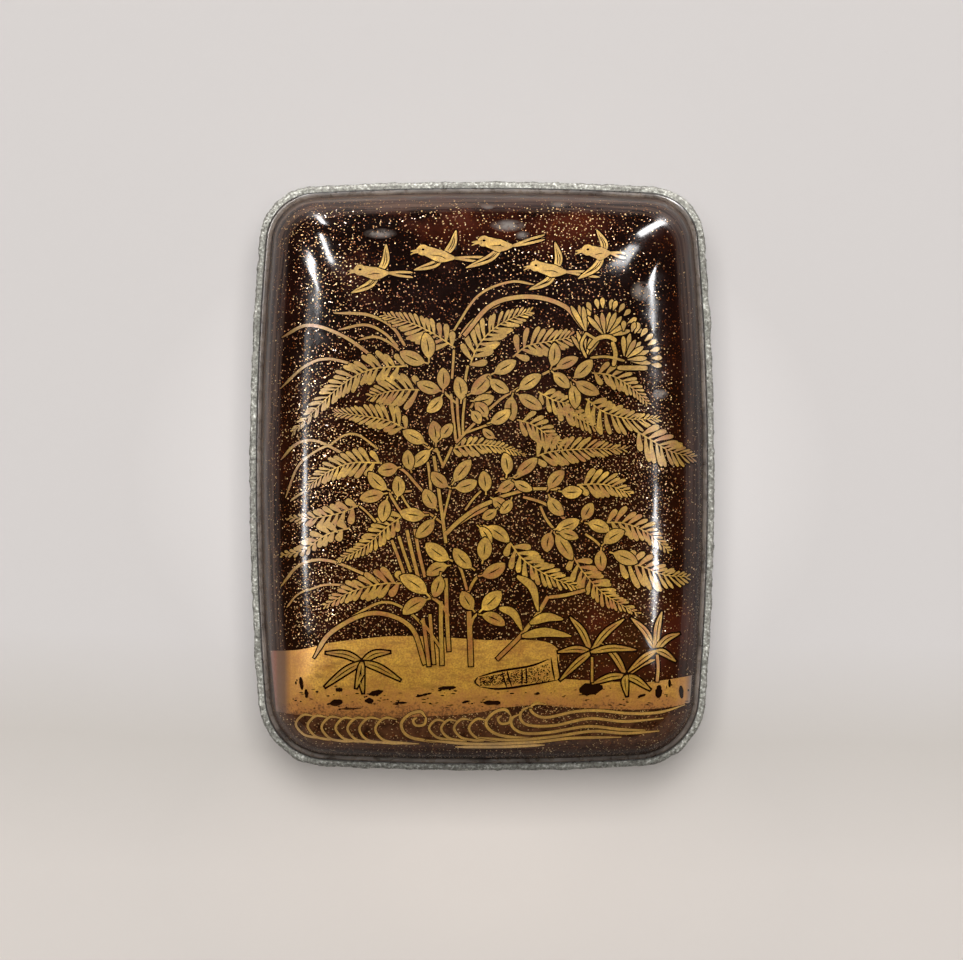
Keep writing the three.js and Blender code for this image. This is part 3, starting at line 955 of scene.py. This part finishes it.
def make_picture(lid, gold, shore_gold, lacquer):
    surface = Surface(lid)
    rng = random.Random(SEED)
    plants = Relief("gold_plants")
    shore = Relief("gold_shore")
    birds = Relief("gold_birds")
    waves = Relief("gold_waves")
    lines = Relief("dark_lines")
    draw_shore(shore, Brush(shore, lines, rng))
    draw_waves(Brush(waves, lines, rng))
    brush = Brush(plants, lines, rng)
    draw_ferns_and_leaves(brush)
    for middle, tips in STARS:
        draw_star(brush, middle, tips, 0.06)
    flock = Brush(birds, lines, rng)
    for number, bird in enumerate(BIRDS):
        draw_bird(flock, *bird, 0.04 + 0.02 * number)
    finishes = ((plants, gold), (shore, shore_gold), (birds, gold), (waves, gold), (lines, lacquer))
    return [relief.build(surface, finish) for relief, finish in finishes]


# Node trees

def feed(tree, node, inputs):
    """Gives each input of a node a plain value, or links it to the socket that feeds it."""
    for key, value in inputs.items():
        if isinstance(value, bpy.types.NodeSocket):
            tree.links.new(value, node.inputs[key])
        else:
            node.inputs[key].default_value = value


def add_node(tree, kind, inputs=(), **settings):
    node = tree.nodes.new(kind)
    for name, value in settings.items():
        setattr(node, name, value)
    feed(tree, node, dict(inputs))
    return node


# Gold flakes sprinkled in the lacquer

FLAKE_RADIUS = 0.118
FLAKE_LIFT = 0.012
FLAKE_TILT = 9
FLAKE_SIZES = ((0.28, 0.28, 1), (1.2, 0.95, 1))
LID_FLAKES_PER_SQUARE_MM = 9.0
BODY_FLAKES_PER_SQUARE_MM = 1.6


def flake_tree(material):
    """Scatters small five-sided flakes over a surface, each turned and tilted its own way."""
    tree = bpy.data.node_groups.new("sprinkle_flakes", "GeometryNodeTree")
    tree.interface.new_socket("Geometry", in_out="INPUT", socket_type="NodeSocketGeometry")
    for label in ("Flakes per square metre", "Flake radius", "Lift"):
        tree.interface.new_socket(label, in_out="INPUT", socket_type="NodeSocketFloat")
    tree.interface.new_socket("Seed", in_out="INPUT", socket_type="NodeSocketInt")
    tree.interface.new_socket("Geometry", in_out="OUTPUT", socket_type="NodeSocketGeometry")

    def node(kind, inputs=(), **settings):
        return add_node(tree, kind, inputs, **settings).outputs

    def random_vector(low, high, seed):
        inputs = {"Min": low, "Max": high, "Seed": seed}
        return node("FunctionNodeRandomValue", inputs, data_type="FLOAT_VECTOR")["Value"]

    given = node("NodeGroupInput")
    share = node("GeometryNodeInputNamedAttribute", {"Name": "sprinkle"}, data_type="FLOAT")["Attribute"]
    density = node("ShaderNodeMath", {0: given["Flakes per square metre"], 1: share}, operation="MULTIPLY")[0]
    scatter = node("GeometryNodeDistributePointsOnFaces",
                   {"Mesh": given["Geometry"], "Density": density, "Seed": given["Seed"]})
    flake = node("GeometryNodeMeshCircle", {"Vertices": 5, "Radius": given["Flake radius"]}, fill_type="NGON")

    tilt = math.radians(FLAKE_TILT)
    about = random_vector((-tilt, -tilt, 0), (tilt, tilt, 2 * math.pi), 3)
    turn = node("FunctionNodeRotateRotation", {"Rotation": scatter["Rotation"], "Rotate By": about},
                rotation_space="LOCAL")
    placed = node("GeometryNodeInstanceOnPoints",
                  {"Points": scatter["Points"], "Instance": flake["Mesh"], "Rotation": turn["Rotation"],
                   "Scale": random_vector(*FLAKE_SIZES, 5)})
    offset = node("ShaderNodeCombineXYZ", {"Z": given["Lift"]})
    raised = node("GeometryNodeTranslateInstances",
                  {"Instances": placed["Instances"], "Translation": offset["Vector"]})

    tone = node("FunctionNodeRandomValue", {"Seed": 8}, data_type="FLOAT")[1]
    toned = node("GeometryNodeStoreNamedAttribute",
                 {"Geometry": raised["Instances"], "Name": "tone", "Value": tone},
                 data_type="FLOAT", domain="INSTANCE")
    real = node("GeometryNodeRealizeInstances", {"Geometry": toned["Geometry"]})
    gilded = node("GeometryNodeSetMaterial", {"Geometry": real["Geometry"], "Material": material})
    node("NodeGroupOutput", {"Geometry": gilded["Geometry"]})
    return tree


def lid_sprinkle(x, y, z):
    """How thickly the flakes lie at a point of the lid, in millimetres."""
    place = Vector((x, y, z))
    cloud = 0.5 + 1.1 * noise.noise(place * 0.085) + 0.7 * noise.noise(place * 0.4)
    left = min(1.0, max(0.0, (-x - 12) / 8)) * 0.2
    among_plants = max(0.0, 1 - abs(y + 4) / 24) * 0.5
    by_the_water = 0.8 if y < -29 else 0.0
    # The steep shoulder shows few of them, but for its head.
    steep = LID_WALL_TOP + 0.3 < z < LID_WALL_TOP + 0.56 * DOME_RISE and y < 29
    share = min(1.0, max(0.14, 0.12 + 0.36 * cloud + left + among_plants + by_the_water))
    return 0.3 * share if steep else share


def body_sprinkle(x, y, z):
    return 0.6 if 0.6 < z < 9 else 0.0


def sprinkle(name, profile, tree, per_square_mm, share):
    """Flakes over the surface of a profile, as one plain mesh."""
    ground = loft(name + "_ground", profile, None, SHELL_SPACING, [], closed=False)
    set_values(ground, "sprinkle", [share(*point) for point in points_of(ground)])
    modifier = ground.modifiers.new("flakes", "NODES")
    modifier.node_group = tree
    sockets = {item.name: item.identifier for item in tree.interface.items_tree if item.in_out == "INPUT"}
    modifier[sockets["Flakes per square metre"]] = per_square_mm / MM**2
    modifier[sockets["Flake radius"]] = FLAKE_RADIUS * MM
    modifier[sockets["Lift"]] = FLAKE_LIFT * MM
    modifier[sockets["Seed"]] = SEED
    graph = bpy.context.evaluated_depsgraph_get()
    made = bpy.data.meshes.new_from_object(ground.evaluated_get(graph))
    made.name = name
    bpy.data.objects.remove(ground)
    piece = bpy.data.objects.new(name, made)
    bpy.context.scene.collection.objects.link(piece)
    plan_uv(piece)
    return piece


# Materials

def srgb(*values):
    """A colour as a picture holds it, from 0 to 255, turned into what a shader reads."""
    shares = [value / 255 for value in values]
    linear = [share / 12.92 if share <= 0.04045 else ((share + 0.055) / 1.055) ** 2.4 for share in shares]
    return (*linear, 1.0)


class Finish:
    """A material under construction: one Principled shader and the nodes that feed it."""

    def __init__(self, name):
        self.material = bpy.data.materials.new(name)
        self.material.use_nodes = True
        self.tree = self.material.node_tree
        self.place = self.node("ShaderNodeTexCoord")["Object"]

    def node(self, kind, inputs=(), **settings):
        return add_node(self.tree, kind, inputs, **settings).outputs

    def wear(self, inputs):
        """Feeds the shader, and gives the finished material."""
        feed(self.tree, self.tree.nodes["Principled BSDF"], inputs)
        return self.material

    def vector(self, operation, first, second):
        return self.node("ShaderNodeVectorMath", {0: first, 1: second}, operation=operation)

    def noise(self, size_mm, detail=3, roughness=0.5, distortion=0.0, stretch=None):
        place = self.vector("MULTIPLY", self.place, stretch)["Vector"] if stretch else self.place
        inputs = {"Vector": place, "Scale": 1 / (size_mm * MM), "Detail": detail, "Roughness": roughness,
                  "Distortion": distortion}
        return self.node("ShaderNodeTexNoise", inputs)["Fac"]

    def mottle(self, size_mm, detail, roughness, *ranges):
        """Noise, stretched from one range to another."""
        return self.span(self.noise(size_mm, detail, roughness), *ranges)

    def specks(self, size_mm, *ranges):
        """One spot in each cell, stretched from one range to another."""
        inputs = {"Vector": self.place, "Scale": 1 / (size_mm * MM)}
        return self.span(self.node("ShaderNodeTexVoronoi", inputs)["Distance"], *ranges)

    def streaks(self, width_mm, length_mm):
        """Fine streaks that run round the box, from the inset that each point has."""
        inputs = {0: self.place, "Scale": 1 / (length_mm * MM)}
        slow = self.node("ShaderNodeVectorMath", inputs, operation="SCALE")
        inset = self.math("DIVIDE", self.attribute("inset"), width_mm)
        across = self.node("ShaderNodeCombineXYZ", {"Z": inset})
        place = self.vector("ADD", slow["Vector"], across["Vector"])["Vector"]
        inputs = {"Vector": place, "Scale": 1.0, "Detail": 3.0, "Roughness": 0.6}
        return self.node("ShaderNodeTexNoise", inputs)["Fac"]

    def near(self, middle_px, radius_px, flatness=1.0):
        """One at a place of the plan, falling to nothing at a radius round it, or nearer above and below."""
        x, y = on_plan(middle_px) * MM
        reach = radius_px * PX * MM
        flat = self.vector("MULTIPLY", self.place, (1, flatness, 0))["Vector"]
        apart = self.vector("DISTANCE", flat, (x, flatness * y, 0))["Value"]
        return self.span(apart, 0.2 * reach, reach, 1.0, 0.0)

    def attribute(self, name):
        return self.node("ShaderNodeAttribute", attribute_name=name)["Fac"]

    def axis(self, letter):
        return self.node("ShaderNodeSeparateXYZ", {0: self.place})[letter]

    def off_middle(self, letter, middle_mm=0.0):
        """How far each place is from the middle of an axis, on either side."""
        return self.math("ABSOLUTE", self.math("SUBTRACT", self.axis(letter), middle_mm * MM), 0)

    def span(self, value, low, high, start=0.0, end=1.0):
        """Stretches a value from one range to another, held at both ends."""
        inputs = {"Value": value, "From Min": low, "From Max": high, "To Min": start, "To Max": end}
        return self.node("ShaderNodeMapRange", inputs)["Result"]

    def span_mm(self, value, low, high, start=0.0, end=1.0):
        return self.span(value, low * MM, high * MM, start, end)

    def along(self, letter, *ranges_mm):
        """Changes from one value to another between two places on an axis."""
        return self.span_mm(self.axis(letter), *ranges_mm)

    def math(self, operation, result, *values):
        """Works a sum on two values, or on more by turns."""
        for value in values:
            result = self.node("ShaderNodeMath", {0: result, 1: value}, operation=operation)[0]
        return result

    def times(self, *values):
        return self.math("MULTIPLY", *values)

    def plus(self, *values):
        return self.math("ADD", *values)

    def mix(self, share, first, second):
        return self.node("ShaderNodeMix", {0: share, 6: first, 7: second}, data_type="RGBA")[2]

    def bump(self, height, depth_mm):
        return self.node("ShaderNodeBump", {"Height": height, "Distance": depth_mm * MM})["Normal"]


def lacquer_finish(name, depth=1.0):
    """Black-brown lacquer, redder where it is thin, with dim flakes deep in it and rubbed streaks by the rims
    that carry painted light and shade, unless it has no depth.
    """
    finish = Finish(name)
    black = finish.mix(finish.along("Y", 22, 6), srgb(17, 7, 5), srgb(26, 10, 3))
    by_bamboo = finish.times(finish.near((612, 650), 92), depth)
    black = finish.mix(by_bamboo, black, srgb(46, 22, 6))
    head = finish.along("Y", 28, 35, 0.0, 0.4)
    side = finish.span_mm(finish.off_middle("X"), 24, 28, 0.0, 0.35)
    thin = finish.plus(head, side, 0.14)
    for middle, radius in THIN_PLACES:
        thin = finish.plus(thin, finish.near(middle, radius))
    thin = finish.times(thin, finish.mottle(7, 5, 0.6, 0.42, 0.68), depth)
    ground = finish.mix(finish.math("MINIMUM", thin, 1.0), black, srgb(64, 24, 12))
    water = finish.times(finish.along("Y", -29, -31), finish.along("Y", -36, -34),
                         finish.mottle(1.3, 5, 0.7, 0.36, 0.6, 0.1, 0.9))
    ground = finish.mix(water, ground, srgb(86, 54, 34))
    dull = 0.0
    for middle, width, height in DULL_PATCHES:
        dull = finish.plus(finish.near(middle, 0.7 * width, width / height), dull)
    dull = finish.times(finish.math("MINIMUM", dull, 1.0), finish.mottle(1.1, 5, 0.7, 0.3, 0.52))
    ground = finish.mix(dull, ground, srgb(104, 94, 86))
    clouds = finish.mottle(0.8, 1, 0.5, 0.42, 0.62)
    dim = finish.times(finish.specks(0.34, 0.1, 0.3, 1.0, 0.0), clouds, 0.8 * depth)
    coloured = finish.mix(dim, ground, srgb(128, 66, 26))
    matt = finish.times(dull, 0.35)
    relief = finish.noise(5, 2, 0.4)
    if depth:
        # By the rims the lacquer is rubbed and shows the streaks of the wood below it.
        skirt = finish.span(finish.attribute("inset"), 2.9, 4.2, 1.0, 0.0)
        grain = finish.streaks(0.3, 16)
        # Painted light and shade: the rubbed colour is laid thickest by the head and on the left, to make
        # those walls lighter, and thinnest on the right and at the foot, to make them darker.
        painted_light_side = finish.math("SUBTRACT", finish.axis("Y"), finish.axis("X"))
        rubbed_and_painted_light_share = finish.span_mm(painted_light_side, -36, 26, 0.25, 0.95)
        rubbed = finish.times(skirt, finish.span(grain, 0.42, 0.62), rubbed_and_painted_light_share)
        coloured = finish.mix(rubbed, coloured, srgb(96, 72, 58))
        matt = finish.plus(matt, finish.times(skirt, finish.span_mm(painted_light_side, -30, 10, 0.75, 0.26)))
        relief = finish.plus(relief, finish.times(skirt, grain, 1.1))
    sheen = finish.mottle(3.5, 5, 0.6, 0.35, 0.75, 0.07, 0.17)
    return finish.wear({"Base Color": coloured, "Roughness": finish.plus(sheen, matt),
                        "Normal": finish.bump(relief, 0.03), "Specular IOR Level": 0.2})


def bead_finish():
    """Rubbed brown lacquer, with painted shade in the gaps on both sides of the bead's crown."""
    finish = Finish("bead_lacquer")
    rubbed = finish.mix(finish.mottle(2.4, 4, 0.55, 0.32, 0.62), srgb(62, 51, 44), srgb(108, 95, 84))
    crown = PARTING_GAP / 2 + RIM_HEIGHT + BEAD_GAP + BEAD_HEIGHT
    # Painted shade: below its crown the bead turns dark on both sides, in the gaps by the rim and the wall.
    gap_shade = finish.span_mm(finish.off_middle("Z", MOUTH_HEIGHT), crown - 0.03, crown - 0.09, 0.0, 0.9)
    return finish.wear({"Base Color": finish.mix(gap_shade, rubbed, srgb(26, 19, 15)),
                        "Roughness": finish.mottle(0.8, 4, 0.5, 0.3, 0.7, 0.2, 0.42),
                        "Normal": finish.bump(finish.noise(0.7), 0.02)})


def gold_finish(name, fades=False):
    """Gold powder under clear lacquer, with a darker grain and an orange cast where it is worn."""
    finish = Finish(name)
    plain = srgb(196, 145, 52) if fades else srgb(174, 134, 42)
    warm = finish.plus(finish.attribute("tone"), finish.mottle(1.9, 5, 0.62, 0.28, 0.72, -0.4, 0.36))
    coloured = finish.mix(finish.span(warm, 0.0, 0.45), srgb(160, 98, 36), plain)
    coloured = finish.mix(finish.span(warm, 0.55, 1.0), coloured, srgb(232, 182, 66))
    coloured = finish.mix(finish.mottle(0.22, 2, 0.6, 0.36, 0.62, 0.5, 0.0), coloured, srgb(92, 52, 20))
    # Painted shade: it is darker towards the head.
    coloured = finish.mix(finish.along("Y", -20, 16, 0.0, 0.36), coloured, srgb(70, 52, 18))
    if fades:
        coloured, metallic = fade_shore(finish, coloured)
    else:
        # Painted shade: the left is darker too. The waves are paler.
        coloured = finish.mix(finish.along("X", -13, -22, 0.0, 0.3), coloured, srgb(84, 54, 16))
        coloured = finish.mix(finish.along("Y", -28.6, -29.4, 0.0, 0.4), coloured, srgb(190, 146, 92))
        metallic = finish.span_mm(finish.off_middle("X"), 14, 24, 0.35, 0.12)
    return finish.wear({"Base Color": coloured, "Metallic": metallic,
                        "Roughness": finish.mottle(0.5, 3, 0.5, 0.3, 0.7, 0.3, 0.46),
                        "Normal": finish.bump(finish.noise(0.35), 0.01),
                        "Coat Weight": 0.25 if fades else 0.6, "Coat Roughness": 0.12})


def fade_shore(finish, coloured):
    """Brushed streaks lie along the shore, which turns orange and thins out by the water and the sides."""
    brushed = finish.span(finish.noise(0.7, 5, 0.7, stretch=(0.2, 1, 1)), 0.5, 0.66, 0.0, 0.6)
    coloured = finish.mix(brushed, coloured, srgb(118, 78, 26))
    ragged = finish.times(finish.math("SUBTRACT", finish.noise(1.6, 6, 0.7, 0.6), 0.5), 7 * MM)
    speckled = finish.times(finish.math("SUBTRACT", finish.noise(0.3, 3, 0.6), 0.5), 11 * MM)
    height = finish.plus(finish.axis("Y"), ragged)
    sides = finish.off_middle("X", 0.8)
    orange_sides = finish.span_mm(sides, 21.5, 26.5, 0.0, 0.8)
    orange = finish.math("MAXIMUM", finish.span_mm(height, -26.5, -29.5), orange_sides)
    gone = finish.span_mm(finish.plus(height, speckled), -29.3, -31.2, 0.0, 0.8)
    coloured = finish.mix(orange, coloured, srgb(178, 118, 58))
    coloured = finish.mix(gone, coloured, srgb(86, 50, 28))
    coloured = finish.mix(finish.span_mm(sides, 25.2, 26.1, 0.0, 0.8), coloured, srgb(72, 44, 28))
    coloured = finish.mix(finish.span_mm(sides, 26.9, 27.3, 0.0, 0.9), coloured, srgb(134, 68, 36))
    return coloured, finish.span_mm(sides, 24, 26, 0.35, 0.0)


def flake_finish():
    """Small flakes of pale gold, gold and copper, each with a tone of its own."""
    finish = Finish("gold_flakes")
    tone = finish.attribute("tone")
    coloured = finish.mix(finish.span(tone, 0.0, 0.5), srgb(134, 80, 42), srgb(164, 122, 66))
    coloured = finish.mix(finish.span(tone, 0.5, 1.0), coloured, srgb(204, 172, 116))
    return finish.wear({"Base Color": coloured, "Metallic": 0.28,
                        "Roughness": finish.span(tone, 0.0, 1.0, 0.5, 0.28),
                        "Coat Weight": 0.6, "Coat Roughness": 0.12})


def rim_finish():
    """Soft grey metal, dull and granular, dark in its pits and pale on its grains."""
    finish = Finish("rim_metal")
    pit = srgb(80, 77, 69)
    grains = finish.noise(0.34, 3, 0.55)
    coloured = finish.mix(finish.span(grains, 0.34, 0.5), pit, srgb(132, 130, 121))
    coloured = finish.mix(finish.span(grains, 0.56, 0.66), coloured, srgb(194, 194, 185))
    coloured = finish.mix(finish.mottle(3.5, 3, 0.5, 0.45, 0.7, 0.0, 0.45), coloured, pit)
    return finish.wear({"Base Color": coloured, "Metallic": 0.3,
                        "Roughness": finish.mottle(0.4, 3, 0.5, 0.3, 0.7, 0.42, 0.75),
                        "Normal": finish.bump(finish.noise(0.16, 3, 0.7), 0.05)})


def floor_finish():
    """Pale paper, with painted shade that makes it a little greyer from the foot of the box down, and painted
    light below the box and round it.
    """
    finish = Finish("pale_floor")
    height = finish.plus(finish.axis("Y"), finish.times(finish.noise(90), 14 * MM))
    # Painted shade: a greyer band from the foot of the box down, then a warmer, lighter band further on.
    paper_and_painted_light = finish.mix(finish.span_mm(height, -14, -27), srgb(157, 153, 151), srgb(150, 145, 140))
    paper_and_painted_light = finish.mix(finish.span_mm(height, -27, -44), paper_and_painted_light, srgb(160, 154, 149))
    # Painted light: a pool below the box's foot, and a lighter patch round the box that takes out its shadow.
    paper_and_painted_light = finish.mix(finish.near((482, 880), 330, 1.8), paper_and_painted_light, srgb(167, 160, 154))
    paper_and_painted_light = finish.mix(finish.near((482, 470), 360, 1.3), paper_and_painted_light, srgb(178, 174, 172))
    # It glows a little, which stands for the light that a room throws back into the shadows, and it is matt,
    # so that the lamps that are only mirrored don't show on it.
    return finish.wear({"Base Color": paper_and_painted_light, "Roughness": 0.75, "Specular IOR Level": 0.1,
                        "Emission Color": paper_and_painted_light, "Emission Strength": 0.7})


# Floor, light and camera

FLOOR_REACH = 4000
STRIP_DISTANCE = 1400
# The room's light, from the horizon up to straight overhead.
WORLD_COLOURS = ((0.26, 0.22, 0.195, 1), (0.08, 0.07, 0.063, 1), (0.014, 0.013, 0.013, 1))

# Lamps that mirror in the lid's shoulder: name, side, degrees off the vertical, bearing towards +Y, width and
# length in degrees, radiance, and the lean that turns the top of the lamp towards +Y.
STRIPS = (
    ("left_low", -1, 55, -1.5, 2.8, 5, 60, -20),
    ("left_middle", -1, 55, 4, 5.0, 6, 7, 0),
    ("left_high", -1, 48.5, 20, 8, 22, 84, -17),
    ("left_corner", -1, 43, 57, 21, 4, 110, -24),
    ("left_spot", -1, 76, 76, 18, 5, 100, 0),
    ("right_low", 1, 52.3, -3.4, 2.4, 5.4, 84, -40),
    ("right_high", 1, 52.6, 11.0, 4.6, 9, 96, -29),
    ("right_corner", 1, 68, 57, 38, 9, 80, 22),
    ("right_patch", 1, 36, 62, 11, 14, 46, 0),
)


def make_floor():
    corners = [(-1, -1), (1, -1), (1, 1), (-1, 1)]
    points = [(x * FLOOR_REACH, y * FLOOR_REACH, 0) for x, y in corners]
    mesh_object("floor", points, [(0, 1, 2, 3)], [floor_finish()])


def make_world():
    """Pale near the horizon, as the studio's walls are, and dark overhead, where the camera is."""
    world = bpy.data.worlds.new("studio")
    bpy.context.scene.world = world
    world.use_nodes = True
    tree = world.node_tree
    place = add_node(tree, "ShaderNodeTexCoord").outputs["Generated"]
    up = add_node(tree, "ShaderNodeSeparateXYZ", {0: place}).outputs["Z"]
    ramp = add_node(tree, "ShaderNodeValToRGB", {"Fac": up})
    stops = ramp.color_ramp.elements
    stops[1].position = 0.15
    stops.new(0.04)
    for stop, colour in zip(stops, WORLD_COLOURS):
        stop.color = colour
    # The wall behind the box's head is the brightest, then the left one, and the one by its foot is dark.
    facing = add_node(tree, "ShaderNodeVectorMath", {0: place, 1: (-0.25, 0.9, 0)}, operation="DOT_PRODUCT")
    bright = add_node(tree, "ShaderNodeMapRange",
                      {"Value": facing.outputs["Value"], "From Min": -1, "To Min": 0.25, "To Max": 1.5})
    feed(tree, tree.nodes["Background"],
         {"Color": ramp.outputs["Color"], "Strength": bright.outputs["Result"]})


def area_light(name, place_mm, size_mm, power, only_mirrored, roll=0):
    """A lamp that either lights the scene or only shows in the gloss."""
    light = bpy.data.lights.new(name, "AREA")
    light.shape = "RECTANGLE"
    light.size = size_mm[0] * MM
    light.size_y = size_mm[1] * MM
    light.energy = power
    lamp = bpy.data.objects.new(name, light)
    lamp.location = Vector(place_mm) * MM
    aim = Vector((0, 0, MOUTH_HEIGHT * MM)) - lamp.location
    turn = Quaternion((0, 0, 1), math.radians(roll))
    lamp.rotation_euler = (aim.to_track_quat("-Z", "Y") @ turn).to_euler()
    lamp.visible_glossy = only_mirrored
    lamp.visible_diffuse = not only_mirrored
    bpy.context.scene.collection.objects.link(lamp)


def strip_light(name, side, off_vertical, bearing, width_degrees, length_degrees, radiance, lean):
    """A lamp that is only mirrored, as bright as its radiance whatever its size."""
    tilt = math.radians(off_vertical)
    turn = math.radians(bearing)
    level = STRIP_DISTANCE * math.sin(tilt)
    place = (side * level * math.cos(turn), level * math.sin(turn), STRIP_DISTANCE * math.cos(tilt))
    across = 2 * STRIP_DISTANCE * math.tan(math.radians(width_degrees / 2))
    along = 2 * level * math.tan(math.radians(length_degrees / 2))
    power = radiance * math.pi * across * along * MM**2
    area_light(name, place, (along, across), power, True, -side * lean)


def make_lights():
    area_light("overhead", (0, 420, 1650), (900, 900), 37, False)
    area_light("head_rake", (0, 1500, 620), (1600, 500), 9, False)
    for strip in STRIPS:
        strip_light(*strip)


def make_camera():
    """Straight above, with a long lens, and the box where the photograph has it."""
    camera = bpy.data.cameras.new("camera")
    camera.sensor_fit = "HORIZONTAL"
    camera.sensor_width = SENSOR_WIDTH
    camera.lens = SENSOR_WIDTH * CAMERA_HEIGHT / (PHOTO_WIDTH * MM_PER_PX)
    camera.clip_start = 0.01
    camera.clip_end = 20
    view = bpy.data.objects.new("camera", camera)
    x = (PHOTO_WIDTH / 2 - BOX_CENTRE_PX[0]) * MM_PER_PX
    y = (BOX_CENTRE_PX[1] - PHOTO_HEIGHT / 2) * MM_PER_PX
    view.location = (x * MM, y * MM, (MOUTH_HEIGHT + CAMERA_HEIGHT) * MM)
    bpy.context.scene.collection.objects.link(view)
    bpy.context.scene.camera = view
    bpy.context.scene.view_settings.view_transform = "Standard"


def main():
    make_camera()
    make_world()
    make_lights()
    make_floor()
    lacquer = lacquer_finish("lacquer")
    bead_lacquer = bead_finish()
    line_lacquer = lacquer_finish("line_lacquer", 0.0)
    metal = rim_finish()

    lid = make_lid([lacquer, bead_lacquer])
    body = make_body([lacquer, bead_lacquer])
    lid_rim = make_rim("lid_rim_metal", 1, metal)
    body_rim = make_rim("body_rim_metal", -1, metal)
    gold = gold_finish("picture_gold")
    shore_gold = gold_finish("shore_gold", fades=True)
    picture = make_picture(lid, gold, shore_gold, line_lacquer)

    tree = flake_tree(flake_finish())
    lid_flakes = sprinkle("lid_flakes", lid_outside(), tree, LID_FLAKES_PER_SQUARE_MM, lid_sprinkle)
    side = quarter((BASE_EDGE, 0.02), (BODY_WALL_FOOT, BODY_CURVE_HEIGHT), 10, True)
    side += [(WALL_FOOT, MOUTH_HEIGHT - PARTING_GAP / 2 - RIM_HEIGHT - BEAD_HEIGHT - 0.3)]
    body_flakes = sprinkle("body_flakes", side, tree, BODY_FLAKES_PER_SQUARE_MM, body_sprinkle)

    for piece in (lid, body, lid_rim, body_rim, lid_flakes, body_flakes, *picture):
        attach(piece, "root")
    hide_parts("lid")
    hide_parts("body")
    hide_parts("lid_rim")
    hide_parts("body_rim")


main()
